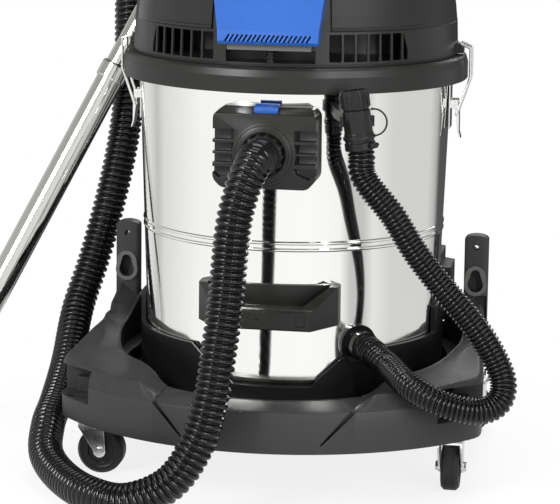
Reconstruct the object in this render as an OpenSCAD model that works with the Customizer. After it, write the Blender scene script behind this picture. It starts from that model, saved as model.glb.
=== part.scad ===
// Industrial wet and dry vacuum cleaner: stainless drum on a trolley, two-motor head, two ribbed hoses.
// Millimetres, +Z up, front is -Y. Origin on the floor, straight under the drum axis.

/* [Drum] */
// Outer diameter of the drum at its rim
drum_d = 440; // [380:2:500]
// Outer diameter of the drum at its foot
drum_foot_d = 412; // [360:2:440]
// Height of the drum foot above the floor
drum_foot_z = 142; // [136:1:156]
// Height of the drum rim above the floor
drum_rim_z = 562; // [460:2:680]
// Height of the double bead above the drum foot
bead_rise = 192; // [120:1:260]
// Thickness of the drum sheet
sheet = 1.2; // [0.8:0.1:2]

/* [Ring and head] */
// Outer diameter of the black ring band
band_d = 485; // [470:1:520]
// Height of the ring band
band_h = 34; // [28:1:44]
// Outer diameter of the head skirt
skirt_d = 456; // [440:1:464]
// Height of the head skirt with the vents
skirt_h = 44; // [36:1:56]
// Height of the upper head shell
shell_h = 142; // [110:1:180]
// Half width of the blue hood at its widest
hood_half = 76; // [60:1:90]
// Thickness of the moulded head walls
head_wall = 4; // [3:0.5:6]
// Height of the finger gap under the carry handle
grip_gap = 30; // [24:1:40]

/* [Trolley] */
// Height of the tray's lower edge above the floor
tray_z = 85; // [78:1:95]
// Height of the tray wall
tray_h = 56; // [46:1:70]
// Thickness of the moulded tray walls
tray_wall = 4; // [3:0.5:6]
// Width of the tray at the sides
tray_w = 580; // [540:2:640]
// Height of the handle uprights above the tray deck
upright_h = 168; // [120:2:220]
// Width of one handle upright
upright_w = 34; // [28:1:44]
// Diameter of the cross bolt hole in the uprights
bolt_d = 8; // [6:0.5:10]

/* [Casters] */
// Wheel diameter
wheel_d = 65; // [50:1:75]
// Tread width of a wheel
wheel_w = 24; // [18:1:30]
// Distance from the swivel axis to the axle
trail = 12; // [8:1:22]
// Diameter of the axle
axle_d = 8; // [6:0.5:10]

/* [Inlet and handle] */
// Width of the inlet plate
inlet_w = 144; // [110:2:170]
// Height of the inlet plate
inlet_h = 104; // [90:1:130]
// Diameter of the round inlet boss
boss_d = 72; // [60:1:84]
// Bore through the inlet
inlet_bore = 40; // [32:1:46]
// Width of the front handle
handle_w = 190; // [150:2:220]
// Reach of the front handle in front of the drum
handle_reach = 52; // [44:1:70]

/* [Hoses and wand] */
// Outer diameter of the main hose over its ribs
hose_d = 48; // [44:1:52]
// Outer diameter of the drain hose over its ribs
drain_d = 36; // [32:1:40]
// Outer diameter of the lower wand tube
wand_d = 40; // [35:1:42]
// Wall of the wand tubes
wand_wall = 1.5; // [1:0.1:2.5]

/* [Hidden] */
$fn = 96;
fine_fn = 48;
small_fn = 32;
eps = 0.05;
fit_run = 0.05;
fit_slide = 0.3;
fit_part = 0.3;

// scale of everything that follows the drum in plan, and lift of everything above the rim
kx = drum_d / 440;
rim_r = drum_d / 2;
foot_r = drum_foot_d / 2 * kx;
drum_h = drum_rim_z - drum_foot_z;
bead_z = drum_foot_z + bead_rise;
band_r = band_d / 2 * kx;
skirt_r = skirt_d / 2 * kx;
band_top = drum_rim_z + 15;
band_z = band_top - band_h;
skirt_z = band_top + 3;
shell_z = skirt_z + skirt_h;
shell_top = shell_z + shell_h;
deck_z = tray_z + tray_h;
tray_half = tray_w / 2 * kx;
plan_r = 370 * kx;
plan_front = 23 * kx;
plan_rear = 110 * kx;
well_r = 222 * kx;
well_front_r = 225 * kx;
well_shift = 60 * kx;
well_floor = 120;
collar_r = 216 * kx;
collar_in = rim_r - 10.4 * kx;
chrome = [0.80, 0.81, 0.80];
steel = [0.72, 0.73, 0.72];
dark = [0.16, 0.16, 0.16];
black = [0.08, 0.08, 0.08];
grey = [0.30, 0.31, 0.30];
light_grey = [0.42, 0.43, 0.41];
blue = [0.10, 0.28, 0.72];

function drum_r(z) = foot_r + (rim_r - foot_r) * (z - drum_foot_z) / drum_h;
function unit(v) = v / norm(v);

module ring(ro, ri, z, h) {
  translate([0, 0, z])
    difference() {
      cylinder(r = ro, h = h);
      translate([0, 0, -1]) cylinder(r = ri, h = h + 2);
    }
}

// solid of the drum's outer surface grown by g, used to fit parts against the drum
module drum_solid(g) {
  translate([0, 0, drum_foot_z])
    cylinder(r1 = foot_r + g, r2 = rim_r + g, h = drum_h);
}

// extrude a Y-Z profile along X, centred, and an X-Z profile along Y
module side_profile(w) {
  translate([-w / 2, 0, 0]) rotate([90, 0, 90]) linear_extrude(w) children();
}
module front_profile(y0, y1) {
  translate([0, y1, 0]) rotate([90, 0, 0]) linear_extrude(y1 - y0) children();
}

// ---------------------------------------------------------------- trolley
slot_foot_x = 90;
slot_head_x = 128;
slot_foot_z = 18;
slot_w = 6;
shoulder_x = 128;
shoulder_rise = 34;
pocket_x = 220 * kx;
pocket_y = 170 * kx;
pocket_z = tray_z + 20;
pocket_top = deck_z + 17;
caster_x = 248 * kx;
caster_y = 182 * kx;
rear_y = 130 * kx;
pad = 62;

module plan(g) {
  intersection() {
    translate([0, plan_front]) circle(r = plan_r - g);
    translate([0, -plan_rear]) circle(r = plan_r - g);
    square([2 * (tray_half - g), 4 * tray_half], center = true);
  }
}
module well2d(g) {
  circle(r = well_r + g);
  translate([0, -well_shift]) circle(r = well_front_r + g);
}
module caster_spots() {
  for (s = [-1, 1]) {
    translate([s * caster_x, -caster_y, 0]) children();
    translate([s * caster_x, rear_y, 0]) children();
  }
}
module tray() {
  rib_t = 3;
  color(grey)
    difference() {
      union() {
        difference() {
          translate([0, 0, tray_z]) linear_extrude(tray_h) plan(0);
          translate([0, 0, tray_z - 1]) linear_extrude(tray_h - tray_wall + 1) plan(tray_wall);
        }
        intersection() {
          union() {
            translate([0, 0, well_floor - tray_wall])
              linear_extrude(deck_z - well_floor + tray_wall) well2d(tray_wall);
            for (s = [-1, 1]) {
              translate([s * (pocket_x + 40), -pocket_y - 50, (tray_z + pocket_z) / 2])
                cube([88, 108, pocket_z - tray_z], center = true);
              translate([s * (pocket_x - tray_wall / 2), -pocket_y - 50, (tray_z + deck_z) / 2])
                cube([tray_wall, 108, tray_h], center = true);
              translate([s * (pocket_x + 40), -pocket_y + tray_wall / 2, (tray_z + deck_z) / 2])
                cube([88, tray_wall, tray_h], center = true);
              translate([s * caster_x, rear_y, (tray_z + deck_z) / 2])
                cube([pad, pad, tray_h], center = true);
            }
            for (a = [-75, -30, 0, 30, 75, 105, 150, 180, 210, 255])
              rotate([0, 0, a - 90]) translate([well_r, -rib_t / 2, well_floor])
                cube([plan_r - well_r + well_shift, rib_t, deck_z - well_floor - 1]);
          }
          translate([0, 0, tray_z]) linear_extrude(tray_h) plan(1);
        }
        for (s = [-1, 1]) shoulder(s);
      }
      translate([0, 0, well_floor]) linear_extrude(deck_z) well2d(0);
      for (s = [-1, 1]) {
        scale_slot(s);
        translate([s * (pocket_x + 60), -pocket_y - 60, pocket_z + 50])
          cube([120, 120, 100], center = true);
      }
      caster_spots() translate([0, 0, tray_z - eps]) cylinder(d = 11, h = 12, $fn = small_fn);
      caster_spots() screw_spots() translate([0, 0, tray_z - eps])
        cylinder(d = 6.2, h = 9, $fn = small_fn);
    }
}
// raised front corners between the slanting slots and the pockets
module shoulder(s) {
  intersection() {
    translate([0, plan_front, deck_z - 1])
      cylinder(r1 = plan_r + 2.5, r2 = plan_r - 100 * kx, h = shoulder_rise);
    front_profile(-plan_r - 20, -pocket_y + 20 * kx)
      polygon([[s * shoulder_x * kx, deck_z - 1], [s * pocket_x, deck_z - 1],
        [s * pocket_x, deck_z + 60], [s * (shoulder_x * kx + 60), deck_z + 60]]);
    translate([0, 0, deck_z - 1]) linear_extrude(80) plan(0);
  }
}
module scale_slot(s) {
  front_profile(-plan_r, -well_front_r * 0.8)
    polygon([[s * slot_foot_x * kx, tray_z + slot_foot_z],
      [s * (slot_foot_x * kx + 3), tray_z + slot_foot_z - 2],
      [s * (slot_head_x * kx + slot_w), deck_z + 1],
      [s * (slot_head_x * kx - 2), deck_z + 1]]);
}

leg_in = pocket_x + fit_part;
up_x = 257 * kx;
up_front = 60 * kx;
up_back = up_front + 24;
up_top = deck_z + upright_h;
fender_z = deck_z + 43;
blend_r = 36;
blend_back = 70;
hole_z = up_top - 18;
key_z = up_top - 72;
key_depth = 18;

module pear2d(g) {
  circle(r = 11 + g, $fn = fine_fn);
  translate([0, 15]) circle(r = 7 + g, $fn = fine_fn);
  polygon([[-10.6 - g, 3], [10.6 + g, 3], [6.4 + g, 17.5], [-6.4 - g, 17.5]]);
}
module leg_side2d() {
  polygon([[-plan_r, pocket_top], [-plan_r, pocket_top + 6], [-200 * kx, fender_z - 12],
    [up_front - blend_r, fender_z], [up_front, fender_z], [up_front, up_top], [up_back, up_top],
    [up_back, fender_z], [up_back + blend_back, fender_z - 4], [230 * kx, fender_z - 26],
    [262 * kx, deck_z + 12], [262 * kx, deck_z], [-pocket_y, deck_z], [-pocket_y, pocket_top]]);
  difference() {
    translate([up_front - blend_r, fender_z - 2]) square([blend_r + 1, blend_r + 2]);
    translate([up_front - blend_r, fender_z + blend_r]) circle(r = blend_r);
  }
  difference() {
    translate([up_back - 1, fender_z - 6]) square([blend_back + 1, blend_back + 4]);
    translate([up_back + blend_back, fender_z - 4 + blend_back]) circle(r = blend_back);
  }
}
module leg_front2d() {
  in_x = up_x - upright_w / 2;
  out_x = up_x + upright_w / 2;
  flare = in_x - leg_in;
  difference() {
    union() {
      polygon([[leg_in, deck_z - 1], [tray_half, deck_z - 1], [tray_half, fender_z - 16],
        [tray_half - 5, fender_z + 6], [out_x, up_top], [in_x, up_top], [in_x, fender_z - 1],
        [leg_in, fender_z - 1]]);
      difference() {
        translate([leg_in, fender_z - 2]) square([flare + 1, flare + 2]);
        translate([leg_in, fender_z + flare]) circle(r = flare);
      }
    }
    difference() {
      translate([in_x - 1, up_top - 16]) square([upright_w + 2, 30]);
      translate([up_x, up_top - 40]) circle(r = 40);
    }
  }
}
module side_legs() {
  color(grey)
    for (s = [-1, 1])
      mirror([s < 0 ? 1 : 0, 0, 0])
        difference() {
          intersection() {
            side_profile(3 * tray_half) leg_side2d();
            front_profile(-plan_r, plan_r) leg_front2d();
            translate([0, 0, deck_z]) linear_extrude(upright_h + 10) plan(0.4);
          }
          translate([0, 0, deck_z - 1]) cylinder(r = well_r, h = 90);
          translate([(leg_in + tray_half) / 2 + 2, 0, deck_z - 1])
            translate([-26, -pocket_y + 8, 0]) cube([52, pocket_y + up_front - 30, 34]);
          translate([(leg_in + tray_half) / 2 + 2, 0, deck_z - 1])
            translate([-26, up_back + 2, 0]) cube([52, 80, 20]);
          translate([up_x, up_back + 5, hole_z]) rotate([90, 0, 0])
            cylinder(d = bolt_d, h = 60, $fn = small_fn);
          translate([up_x, up_front + key_depth, key_z]) rotate([90, 0, 0])
            linear_extrude(key_depth + 1) pear2d(0);
        }
}
module socket_bezels() {
  color(light_grey)
    for (s = [-1, 1])
      translate([s * up_x, up_front, key_z]) rotate([90, 0, 0])
        difference() {
          linear_extrude(3) {
            circle(r = 16.4, $fn = fine_fn);
            translate([0, 13]) circle(r = 14.5, $fn = fine_fn);
            polygon([[-16.4, 0], [16.4, 0], [14.5, 13], [-14.5, 13]]);
          }
          translate([0, 0, -1]) linear_extrude(6) pear2d(0);
        }
}
module foot_collar() {
  side_h = 48;
  pad_h = 84;
  color(black)
    difference() {
      union() {
        ring(collar_r, foot_r - 26, well_floor, drum_foot_z - well_floor);
        ring(collar_r, collar_in, well_floor, drum_foot_z - well_floor + side_h);
        intersection() {
          ring(collar_r, collar_in, well_floor, drum_foot_z - well_floor + pad_h);
          translate([0, 0, drum_foot_z]) cube([2 * plan_r, 96 * kx, 400], center = true);
        }
      }
      front_profile(-plan_r, 0)
        polygon([[-58, drum_foot_z], [58, drum_foot_z], [70, drum_foot_z + 13],
          [96, drum_foot_z + 36], [112, drum_foot_z + side_h + 2],
          [-112, drum_foot_z + side_h + 2], [-96, drum_foot_z + 36], [-70, drum_foot_z + 13]]);
      rotate([0, 0, elbow_a]) translate([0, -collar_in + 40, elbow_z]) rotate([90, 0, 0])
        cylinder(r = elbow_flange + fit_part, h = 80);
    }
}
module rear_block() {
  top = deck_z + 108;
  half = 216 * kx;
  color(light_grey)
    difference() {
      intersection() {
        union() {
          translate([-half, 118 * kx, deck_z]) cube([2 * half, 132 * kx, top - deck_z]);
          translate([-half + 15, 118 * kx, deck_z]) cube([2 * half - 30, 120 * kx, top - deck_z + 18]);
        }
        translate([0, 0, deck_z]) linear_extrude(200) plan(4);
      }
      translate([0, 0, deck_z - 1]) cylinder(r = well_r - 4, h = 260);
      for (s = [-1, 1]) {
        translate([s * 158 * kx, 196 * kx, deck_z + 12]) cylinder(d = 38, h = 200);
        translate([s * (half + 10), 118 * kx, deck_z - 1]) cube([60, 300, 60], center = true);
      }
    }
}

// ---------------------------------------------------------------- casters
fork_gap = wheel_w + 4;
fork_t = 3;
crown_z = wheel_d + 5;
plate_t = 2.5;
screw_x = 22;
screw_y = 19;

module screw_spots() {
  for (sx = [-1, 1])
    for (sy = [-1, 1])
      translate([sx * screw_x, sy * screw_y, 0]) children();
}
module caster_plates() {
  color(steel)
    caster_spots() {
      translate([0, 0, tray_z - plate_t])
        difference() {
          translate([-29, -26, 0]) cube([58, 52, plate_t]);
          screw_spots() translate([0, 0, -1]) cylinder(d = 6.2, h = 9, $fn = small_fn);
        }
      translate([0, 0, crown_z + fork_t + fit_slide])
        cylinder(r = 17, h = tray_z - plate_t - crown_z - fork_t - fit_slide, $fn = fine_fn);
      translate([0, 0, crown_z - 2]) cylinder(r = 5, h = tray_z - crown_z + 8, $fn = small_fn);
      translate([0, 0, crown_z - 3]) cylinder(r = 8, h = 2.8, $fn = small_fn);
    }
}
module caster_screws() {
  color(steel)
    caster_spots() screw_spots() {
      translate([0, 0, tray_z - plate_t - 4]) cylinder(d = 10, h = 4, $fn = 6);
      translate([0, 0, tray_z - plate_t - 1]) cylinder(d = 6, h = 10, $fn = small_fn);
    }
}
module fork_at(x, y, a) {
  top_w = 36;
  color(steel)
    translate([x, y, 0]) rotate([0, 0, a]) {
      difference() {
        union() {
          translate([-18, -fork_gap / 2 - fork_t, crown_z])
            cube([top_w, fork_gap + 2 * fork_t, fork_t]);
          for (s = [-1, 1])
            translate([0, s * (fork_gap + fork_t) / 2 + fork_t / 2, 0]) rotate([90, 0, 0])
              linear_extrude(fork_t) {
                polygon([[-18, crown_z + fork_t], [18, crown_z + fork_t], [18, crown_z - 4],
                  [trail + 8, wheel_d / 2], [trail - 8, wheel_d / 2], [-18, crown_z - 4]]);
                translate([trail, wheel_d / 2]) circle(r = 8.4, $fn = fine_fn);
              }
        }
        translate([0, 0, crown_z - 1]) cylinder(r = 5 + fit_run, h = 9, $fn = small_fn);
      }
      translate([trail, 0, wheel_d / 2]) rotate([90, 0, 0]) {
        cylinder(d = axle_d, h = fork_gap + 2 * fork_t + 3, center = true, $fn = small_fn);
        for (s = [-1, 1])
          translate([0, 0, s * (fork_gap / 2 + fork_t + 2)])
            cylinder(d = axle_d + 5, h = 4, center = true, $fn = 6);
      }
    }
}
module wheel_at(x, y, a) {
  r = wheel_d / 2;
  h = wheel_w / 2;
  color(black)
    translate([x, y, 0]) rotate([0, 0, a]) translate([trail, 0, r]) rotate([90, 0, 0])
      rotate_extrude()
        polygon([[axle_d / 2 + fit_run, -h - 1.4], [8, -h - 1.4], [9, -h + 2], [17, -h + 3.5],
          [18, -h + 1], [22, -h + 1], [23.5, -h], [r - 4, -h], [r, -h + 4], [r, h - 4],
          [r - 4, h], [23.5, h], [22, h - 1], [18, h - 1], [17, h - 3.5], [9, h - 2],
          [8, h + 1.4], [axle_d / 2 + fit_run, h + 1.4]]);
}
module fork_fl() fork_at(-caster_x, -caster_y, 0);
module fork_fr() fork_at(caster_x, -caster_y, 90);
module fork_rl() fork_at(-caster_x, rear_y, 90);
module fork_rr() fork_at(caster_x, rear_y, 60);
module wheel_fl() wheel_at(-caster_x, -caster_y, 0);
module wheel_fr() wheel_at(caster_x, -caster_y, 90);
module wheel_rl() wheel_at(-caster_x, rear_y, 90);
module wheel_rr() wheel_at(caster_x, rear_y, 60);

// ---------------------------------------------------------------- drum and ring
elbow_a = 34;
elbow_z = drum_foot_z + 56;
elbow_bore = 26;
elbow_flange = 26;
inlet_z = drum_rim_z - 96;
neck_r = inlet_bore / 2 + 3;

module drum() {
  chime = 7;
  bead_r = 2.6;
  bead_gap = 4.6;
  z0 = drum_foot_z;
  color(chrome)
    difference() {
      rotate_extrude($fn = 180) {
        polygon([[0, z0], [foot_r - chime, z0], [foot_r - 2, z0 + 3], [drum_r(z0 + chime), z0 + chime],
          [rim_r, drum_rim_z], [rim_r - sheet, drum_rim_z], [drum_r(z0 + chime) - sheet, z0 + chime],
          [foot_r - 2 - sheet, z0 + 3 + sheet], [foot_r - chime, z0 + sheet], [0, z0 + sheet]]);
        for (s = [-1, 1])
          translate([drum_r(bead_z + s * bead_gap) - 1, bead_z + s * bead_gap])
            circle(r = bead_r, $fn = small_fn);
      }
      translate([0, -foot_r + 30, inlet_z]) rotate([90, 0, 0])
        cylinder(r = neck_r + fit_part, h = 100);
      rotate([0, 0, elbow_a]) translate([0, -foot_r + 30, elbow_z]) rotate([90, 0, 0])
        cylinder(d = elbow_bore, h = 80);
    }
}
module ring_band() {
  in_r = rim_r + fit_part;
  lip = rim_r - 6;
  color(dark)
    rotate_extrude($fn = 180)
      polygon([[in_r, band_z], [band_r - 1, band_z], [band_r, band_z + 1], [band_r, band_top - 12],
        [band_r - 2.5, band_top - 3], [band_r - 5.5, band_top], [rim_r + 6.3, band_top],
        [rim_r + 6.3, drum_rim_z + 4], [lip, drum_rim_z + 4], [lip, drum_rim_z + fit_part],
        [in_r, drum_rim_z + fit_part]]);
}

// ---------------------------------------------------------------- inlet
plate_y = -(rim_r + 35);
boss_y = plate_y - 7;
cuff_y = boss_y - 22;
tab_half = 16;
tab_travel = 3;

module inlet_plate() {
  hw = inlet_w / 2;
  z0 = inlet_z - inlet_h / 2 + 7;
  z1 = inlet_z + inlet_h / 2 + 7;
  back = -drum_r(inlet_z) + 30;
  color(dark)
    difference() {
      union() {
        intersection() {
          side_profile(inlet_w)
            polygon([[back, z0], [plate_y + 4, z0], [plate_y, z0 + 4], [plate_y, z1 - 11],
              [plate_y + 3, z1 - 8], [-rim_r - 7, z1], [back, z1]]);
          front_profile(plate_y - 1, back)
            polygon([[-hw + 14, z0], [hw - 14, z0], [hw, z0 + 16], [hw, z1 - 14], [hw - 9, z1],
              [-hw + 9, z1], [-hw, z1 - 14], [-hw, z0 + 16]]);
        }
        translate([0, boss_y, inlet_z]) rotate([-90, 0, 0])
          cylinder(d1 = boss_d - 6, d2 = boss_d, h = 8);
      }
      drum_solid(fit_part);
      translate([0, boss_y - 1, inlet_z]) rotate([-90, 0, 0]) cylinder(d = inlet_bore + 16, h = 13);
      translate([0, boss_y - 1, inlet_z]) rotate([-90, 0, 0]) cylinder(d = inlet_bore, h = 80);
      for (s = [-1, 1])
        for (g = [[17, 32], [3, 13], [-9, 0], [-30, -17]])
          translate([s * (hw - 18), plate_y, inlet_z + (g[0] + g[1]) / 2])
            cube([24, 6, g[1] - g[0]], center = true);
      translate([-tab_half - 0.4, plate_y + 5, z1 - 16]) cube([2 * tab_half + 0.8, 20.4, 30]);
    }
}
module inlet_tab() {
  z1 = inlet_z + inlet_h / 2 + 7;
  color(blue)
    side_profile(2 * tab_half)
      polygon([[plate_y + 5.4, z1 - 11], [plate_y + 5.4, z1 - 3], [plate_y + 9, z1 + 1],
        [plate_y + 20, z1 + 4], [plate_y + 25, z1 + 4], [plate_y + 25, z1 - 11]]);
}
module inlet_deflector() {
  in_y = -drum_r(inlet_z) + 11;
  color(dark) {
    translate([0, in_y, inlet_z]) rotate([90, 0, 0])
      difference() {
        union() {
          cylinder(r = inlet_bore / 2 + 8, h = 6);
          cylinder(r = neck_r, h = 9.7);
        }
        translate([0, 0, -1]) cylinder(r = inlet_bore / 2, h = 12);
      }
    for (s = [-1, 1])
      translate([s * 26 - 1.5, in_y - 1, inlet_z - 26]) cube([3, 40, 52]);
    translate([-27.5, in_y + 36, inlet_z - 26]) cube([55, 3, 52]);
  }
}

// ---------------------------------------------------------------- front handle
grip_z = drum_foot_z + 88;

module front_handle() {
  hw = handle_w / 2;
  r = drum_r(grip_z + 25);
  fy = -r - handle_reach;
  z0 = grip_z;
  color(dark)
    difference() {
      union() {
        intersection() {
          translate([0, 0, z0]) linear_extrude(52)
            polygon([[-hw, -r + 40], [-hw, -r - 2], [-hw + 32, fy], [hw - 32, fy], [hw, -r - 2],
              [hw, -r + 40]]);
          side_profile(2 * hw)
            polygon([[0, z0], [fy + 2, z0], [fy, z0 + 2], [fy, z0 + 24], [fy + 3, z0 + 27],
              [fy + 10, z0 + 28], [-r - 4, z0 + 52], [0, z0 + 52]]);
        }
        intersection() {
          cylinder(r = r + 4.5, h = 900);
          translate([0, -r, z0 + 26]) cube([2 * hw, 110, 52], center = true);
        }
      }
      drum_solid(fit_part);
      difference() {
        translate([0, 0, z0 - 1]) linear_extrude(80)
          polygon([[-hw + 12, -r + 30], [-hw + 12, -r - 4], [-hw + 42, fy + 15],
            [hw - 42, fy + 15], [hw - 12, -r - 4], [hw - 12, -r + 30]]);
        cylinder(r = r + 4.5, h = 900);
      }
      translate([hw - 44, fy, z0 + 13]) cube([14, 5, 15], center = true);
      translate([-8, fy, z0 + 13]) rotate([90, 0, 0]) cylinder(r = 2.6, h = 4, center = true, $fn = 24);
      translate([0, 0, z0 - 20]) cylinder(r = foot_r - 2, h = 90);
    }
}

// ---------------------------------------------------------------- drain
elbow_dir = unit([0.66, -0.70, -0.27]);
elbow_c = [(drum_r(elbow_z) + 20) * sin(elbow_a), -(drum_r(elbow_z) + 20) * cos(elbow_a), elbow_z];
elbow_len = 26;
drain_start = elbow_c + elbow_dir * elbow_len;
coup_tilt = 8;
coup_dir = [-sin(coup_tilt), 0, cos(coup_tilt)];
coup_at = [126 * kx, -258 * kx, drum_rim_z - 76];

module along(at, dir) {
  translate(at) rotate([0, acos(dir[2] / norm(dir)), atan2(dir[1], dir[0])]) children();
}
module drain_elbow() {
  r_in = drum_r(elbow_z) + fit_part;
  color(dark)
    difference() {
      union() {
        difference() {
          rotate([0, 0, elbow_a]) translate([0, -r_in + 6, elbow_z]) rotate([90, 0, 0]) {
            cylinder(r = elbow_flange, h = 11);
            cylinder(r = 18, h = 30);
            translate([0, 0, 22]) cylinder(r = 20.4, h = 9.5);
          }
          drum_solid(fit_part);
        }
        along(elbow_c - elbow_dir * 4, elbow_dir) cylinder(r = 17, h = elbow_len + 4);
        along(elbow_c, elbow_dir)
          for (i = [0:2]) translate([0, 0, 12 + 5 * i]) cylinder(r = 20, h = 2.4);
      }
      along(elbow_c - elbow_dir * 2, elbow_dir) cylinder(d = elbow_bore - 2, h = elbow_len + 3);
      rotate([0, 0, elbow_a]) translate([0, -r_in + 20, elbow_z]) rotate([90, 0, 0])
        cylinder(d = elbow_bore + 2, h = 42);
    }
}
module drain_clamp() {
  color(steel)
    along(coup_at, coup_dir) {
      difference() {
        translate([0, 0, -9]) cylinder(r = drain_d / 2 + 2.4, h = 9);
        translate([0, 0, -10]) cylinder(r = drain_d / 2 + 0.4, h = 11);
      }
      rotate([0, 0, 150]) translate([drain_d / 2 + 2, -5, -8]) cube([5, 10, 7]);
      rotate([0, 0, 150]) translate([drain_d / 2 + 4.5, 8, -4.5]) rotate([90, 0, 0])
        cylinder(r = 2.4, h = 16, $fn = 24);
    }
}
module drain_sleeve() {
  color(dark)
    along(coup_at, coup_dir)
      rotate_extrude()
        polygon([[drain_d / 2 - 4, 0], [drain_d / 2 + 1, 0], [drain_d / 2 + 1.6, 4],
          [drain_d / 2 + 1.6, 12], [drain_d / 2 + 0.8, 13], [drain_d / 2 + 0.6, 42],
          [drain_d / 2 - 2, 44], [drain_d / 2 - 2, 62], [drain_d / 2 - 4, 62]]);
}
module drain_cap() {
  ro = drain_d / 2 + 0.4;
  color(black)
    along(coup_at, coup_dir) {
      difference() {
        union() {
          translate([0, 0, 45]) cylinder(r = ro, h = 24);
          for (i = [0:17])
            rotate([0, 0, i * 20]) translate([ro - 0.4, -1.2, 47]) cube([1.8, 2.4, 17]);
        }
        translate([0, 0, 44]) cylinder(r = drain_d / 2 - 2 + fit_run, h = 18.3);
        translate([0, 0, 64.5]) cylinder(r = ro - 3.5, h = 9);
      }
    }
}
module drain_tether() {
  color(black)
    along(coup_at, coup_dir) rotate([0, 0, 180]) {
      difference() {
        translate([0, 0, 5]) cylinder(r = drain_d / 2 + 3.2, h = 4);
        translate([0, 0, 4]) cylinder(r = drain_d / 2 + 1.7, h = 6);
      }
      translate([drain_d / 2 + 3, 0, 24.5]) rotate([90, 0, 0]) rotate_extrude(angle = 180, start = -90)
        translate([17.5, 0]) circle(r = 1.2, $fn = 16);
      translate([drain_d / 2 + 3.2, 0, 42]) sphere(r = 1.8, $fn = 24);
    }
}
module drain_clip() {
  mid = coup_at + coup_dir * 28;
  a = atan2(mid[0], -mid[1]);
  reach = norm([mid[0], mid[1]]);
  cr = drain_d / 2 + 0.9;
  color(black)
    rotate([0, 0, a]) {
      difference() {
        union() {
          translate([-8, -reach, mid[2] - 7]) cube([16, reach - rim_r + 12, 14]);
          translate([0, -reach, mid[2] - 7]) cylinder(r = cr + 4, h = 14);
        }
        drum_solid(fit_part);
        cylinder(r = foot_r, h = 900);
        translate([0, -reach, mid[2]]) rotate([0, 0, -a]) rotate([0, -coup_tilt, 0])
          cylinder(r = cr, h = 60, center = true);
        translate([0, -reach - 24, mid[2]]) cube([80, 44, 40], center = true);
      }
    }
}

// ---------------------------------------------------------------- wand
wand_u = unit([0.4193, 0.2613, 0.8695]);
wand_foot = [-540 * kx, -22 * kx, sqrt(1 - wand_u[2] * wand_u[2]) * wand_d / 2 + 0.1];
wand_joint = 591 * drum_rim_z / 562;
wand_spigot = 42;
wand_step = 0.4;
wand_top_l = 904 * drum_rim_z / 562;
bend_r = 70;
bend_a = 75;
bend_b0 = [-0.8, 0.6, 0];
bend_b = unit(bend_b0 - (bend_b0 * wand_u) * wand_u);
bend_c = cross(wand_u, bend_b);
wand_top = wand_foot + wand_u * wand_top_l;
hand_dir = wand_u * cos(bend_a) + bend_b * sin(bend_a);
hand_at = wand_top + bend_r * (sin(bend_a) * wand_u + (1 - cos(bend_a)) * bend_b);
upper_r = wand_d / 2 - wand_wall - 0.2;
tail = 34;
cuff_len = 52;

module wand_lower() {
  color(chrome) along(wand_foot, wand_u)
    difference() {
      union() {
        cylinder(r = wand_d / 2 - wand_step, h = wand_spigot + 1);
        translate([0, 0, wand_spigot]) cylinder(d = wand_d, h = wand_joint - wand_spigot);
      }
      translate([0, 0, -1]) cylinder(r = wand_d / 2 - wand_wall, h = wand_joint + 2);
    }
}
module tube2d() {
  difference() {
    circle(r = upper_r);
    circle(r = upper_r - wand_wall + 0.3);
  }
}
// upper tube, with a wider socket at its top for the bent hand tube
module wand_upper() {
  lap = 45;
  foot = wand_joint - lap;
  sock = upper_r + 1.6;
  color(chrome)
    along(wand_foot, wand_u)
      rotate_extrude()
        polygon([[upper_r - wand_wall, foot], [upper_r, foot], [upper_r, wand_top_l - 44],
          [sock, wand_top_l - 40], [sock, wand_top_l - eps], [upper_r + fit_run, wand_top_l - eps],
          [upper_r + fit_run, wand_top_l - 38], [upper_r - wand_wall, wand_top_l - 38]]);
}
// bent tube held in the hand: an arc between two straight spigots a little thinner than it
module hand_tube() {
  step = 0.3;
  spigot = 34;
  color(chrome) {
    difference() {
      along(wand_top - wand_u * spigot, wand_u) cylinder(r = upper_r - step, h = spigot);
      along(wand_top - wand_u * (spigot + 1), wand_u)
        cylinder(r = upper_r - wand_wall, h = spigot + 2);
    }
    multmatrix([[bend_b[0], bend_c[0], wand_u[0], wand_top[0]],
        [bend_b[1], bend_c[1], wand_u[1], wand_top[1]],
        [bend_b[2], bend_c[2], wand_u[2], wand_top[2]], [0, 0, 0, 1]])
      translate([bend_r, 0, 0]) rotate([90, 0, 0])
        rotate_extrude(angle = bend_a, start = 180 - bend_a) translate([bend_r, 0]) tube2d();
    difference() {
      along(hand_at, hand_dir) cylinder(r = upper_r - step, h = tail);
      along(hand_at - hand_dir, hand_dir) cylinder(r = upper_r - wand_wall, h = tail + 2);
    }
  }
}
module wand_collar() {
  color(chrome) along(wand_foot + wand_u * (wand_joint - 18), wand_u)
    rotate_extrude()
      polygon([[wand_d / 2 + 0.1, 0], [wand_d / 2 + 2, 0], [wand_d / 2 + 2.6, 2],
        [wand_d / 2 + 2.6, 22], [wand_d / 2 + 1, 26], [upper_r + 0.1, 26], [upper_r + 0.1, 18.2],
        [wand_d / 2 + 0.1, 18.2]]);
}
module hand_cuff() {
  color(black) along(hand_at + hand_dir * 4, hand_dir)
    rotate_extrude()
        polygon([[upper_r + 0.1, 0], [upper_r + 3, 0], [hose_d / 2 + 1, 8], [hose_d / 2 + 2.4, 12],
          [hose_d / 2 + 2.4, 40], [hose_d / 2 + 1, cuff_len], [hose_d / 2 - 5.5, cuff_len],
          [hose_d / 2 - 5.5, tail - 3], [upper_r - 0.2, tail - 3], [upper_r - 0.2, 2],
          [upper_r + 0.1, 2]]);
}
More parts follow.
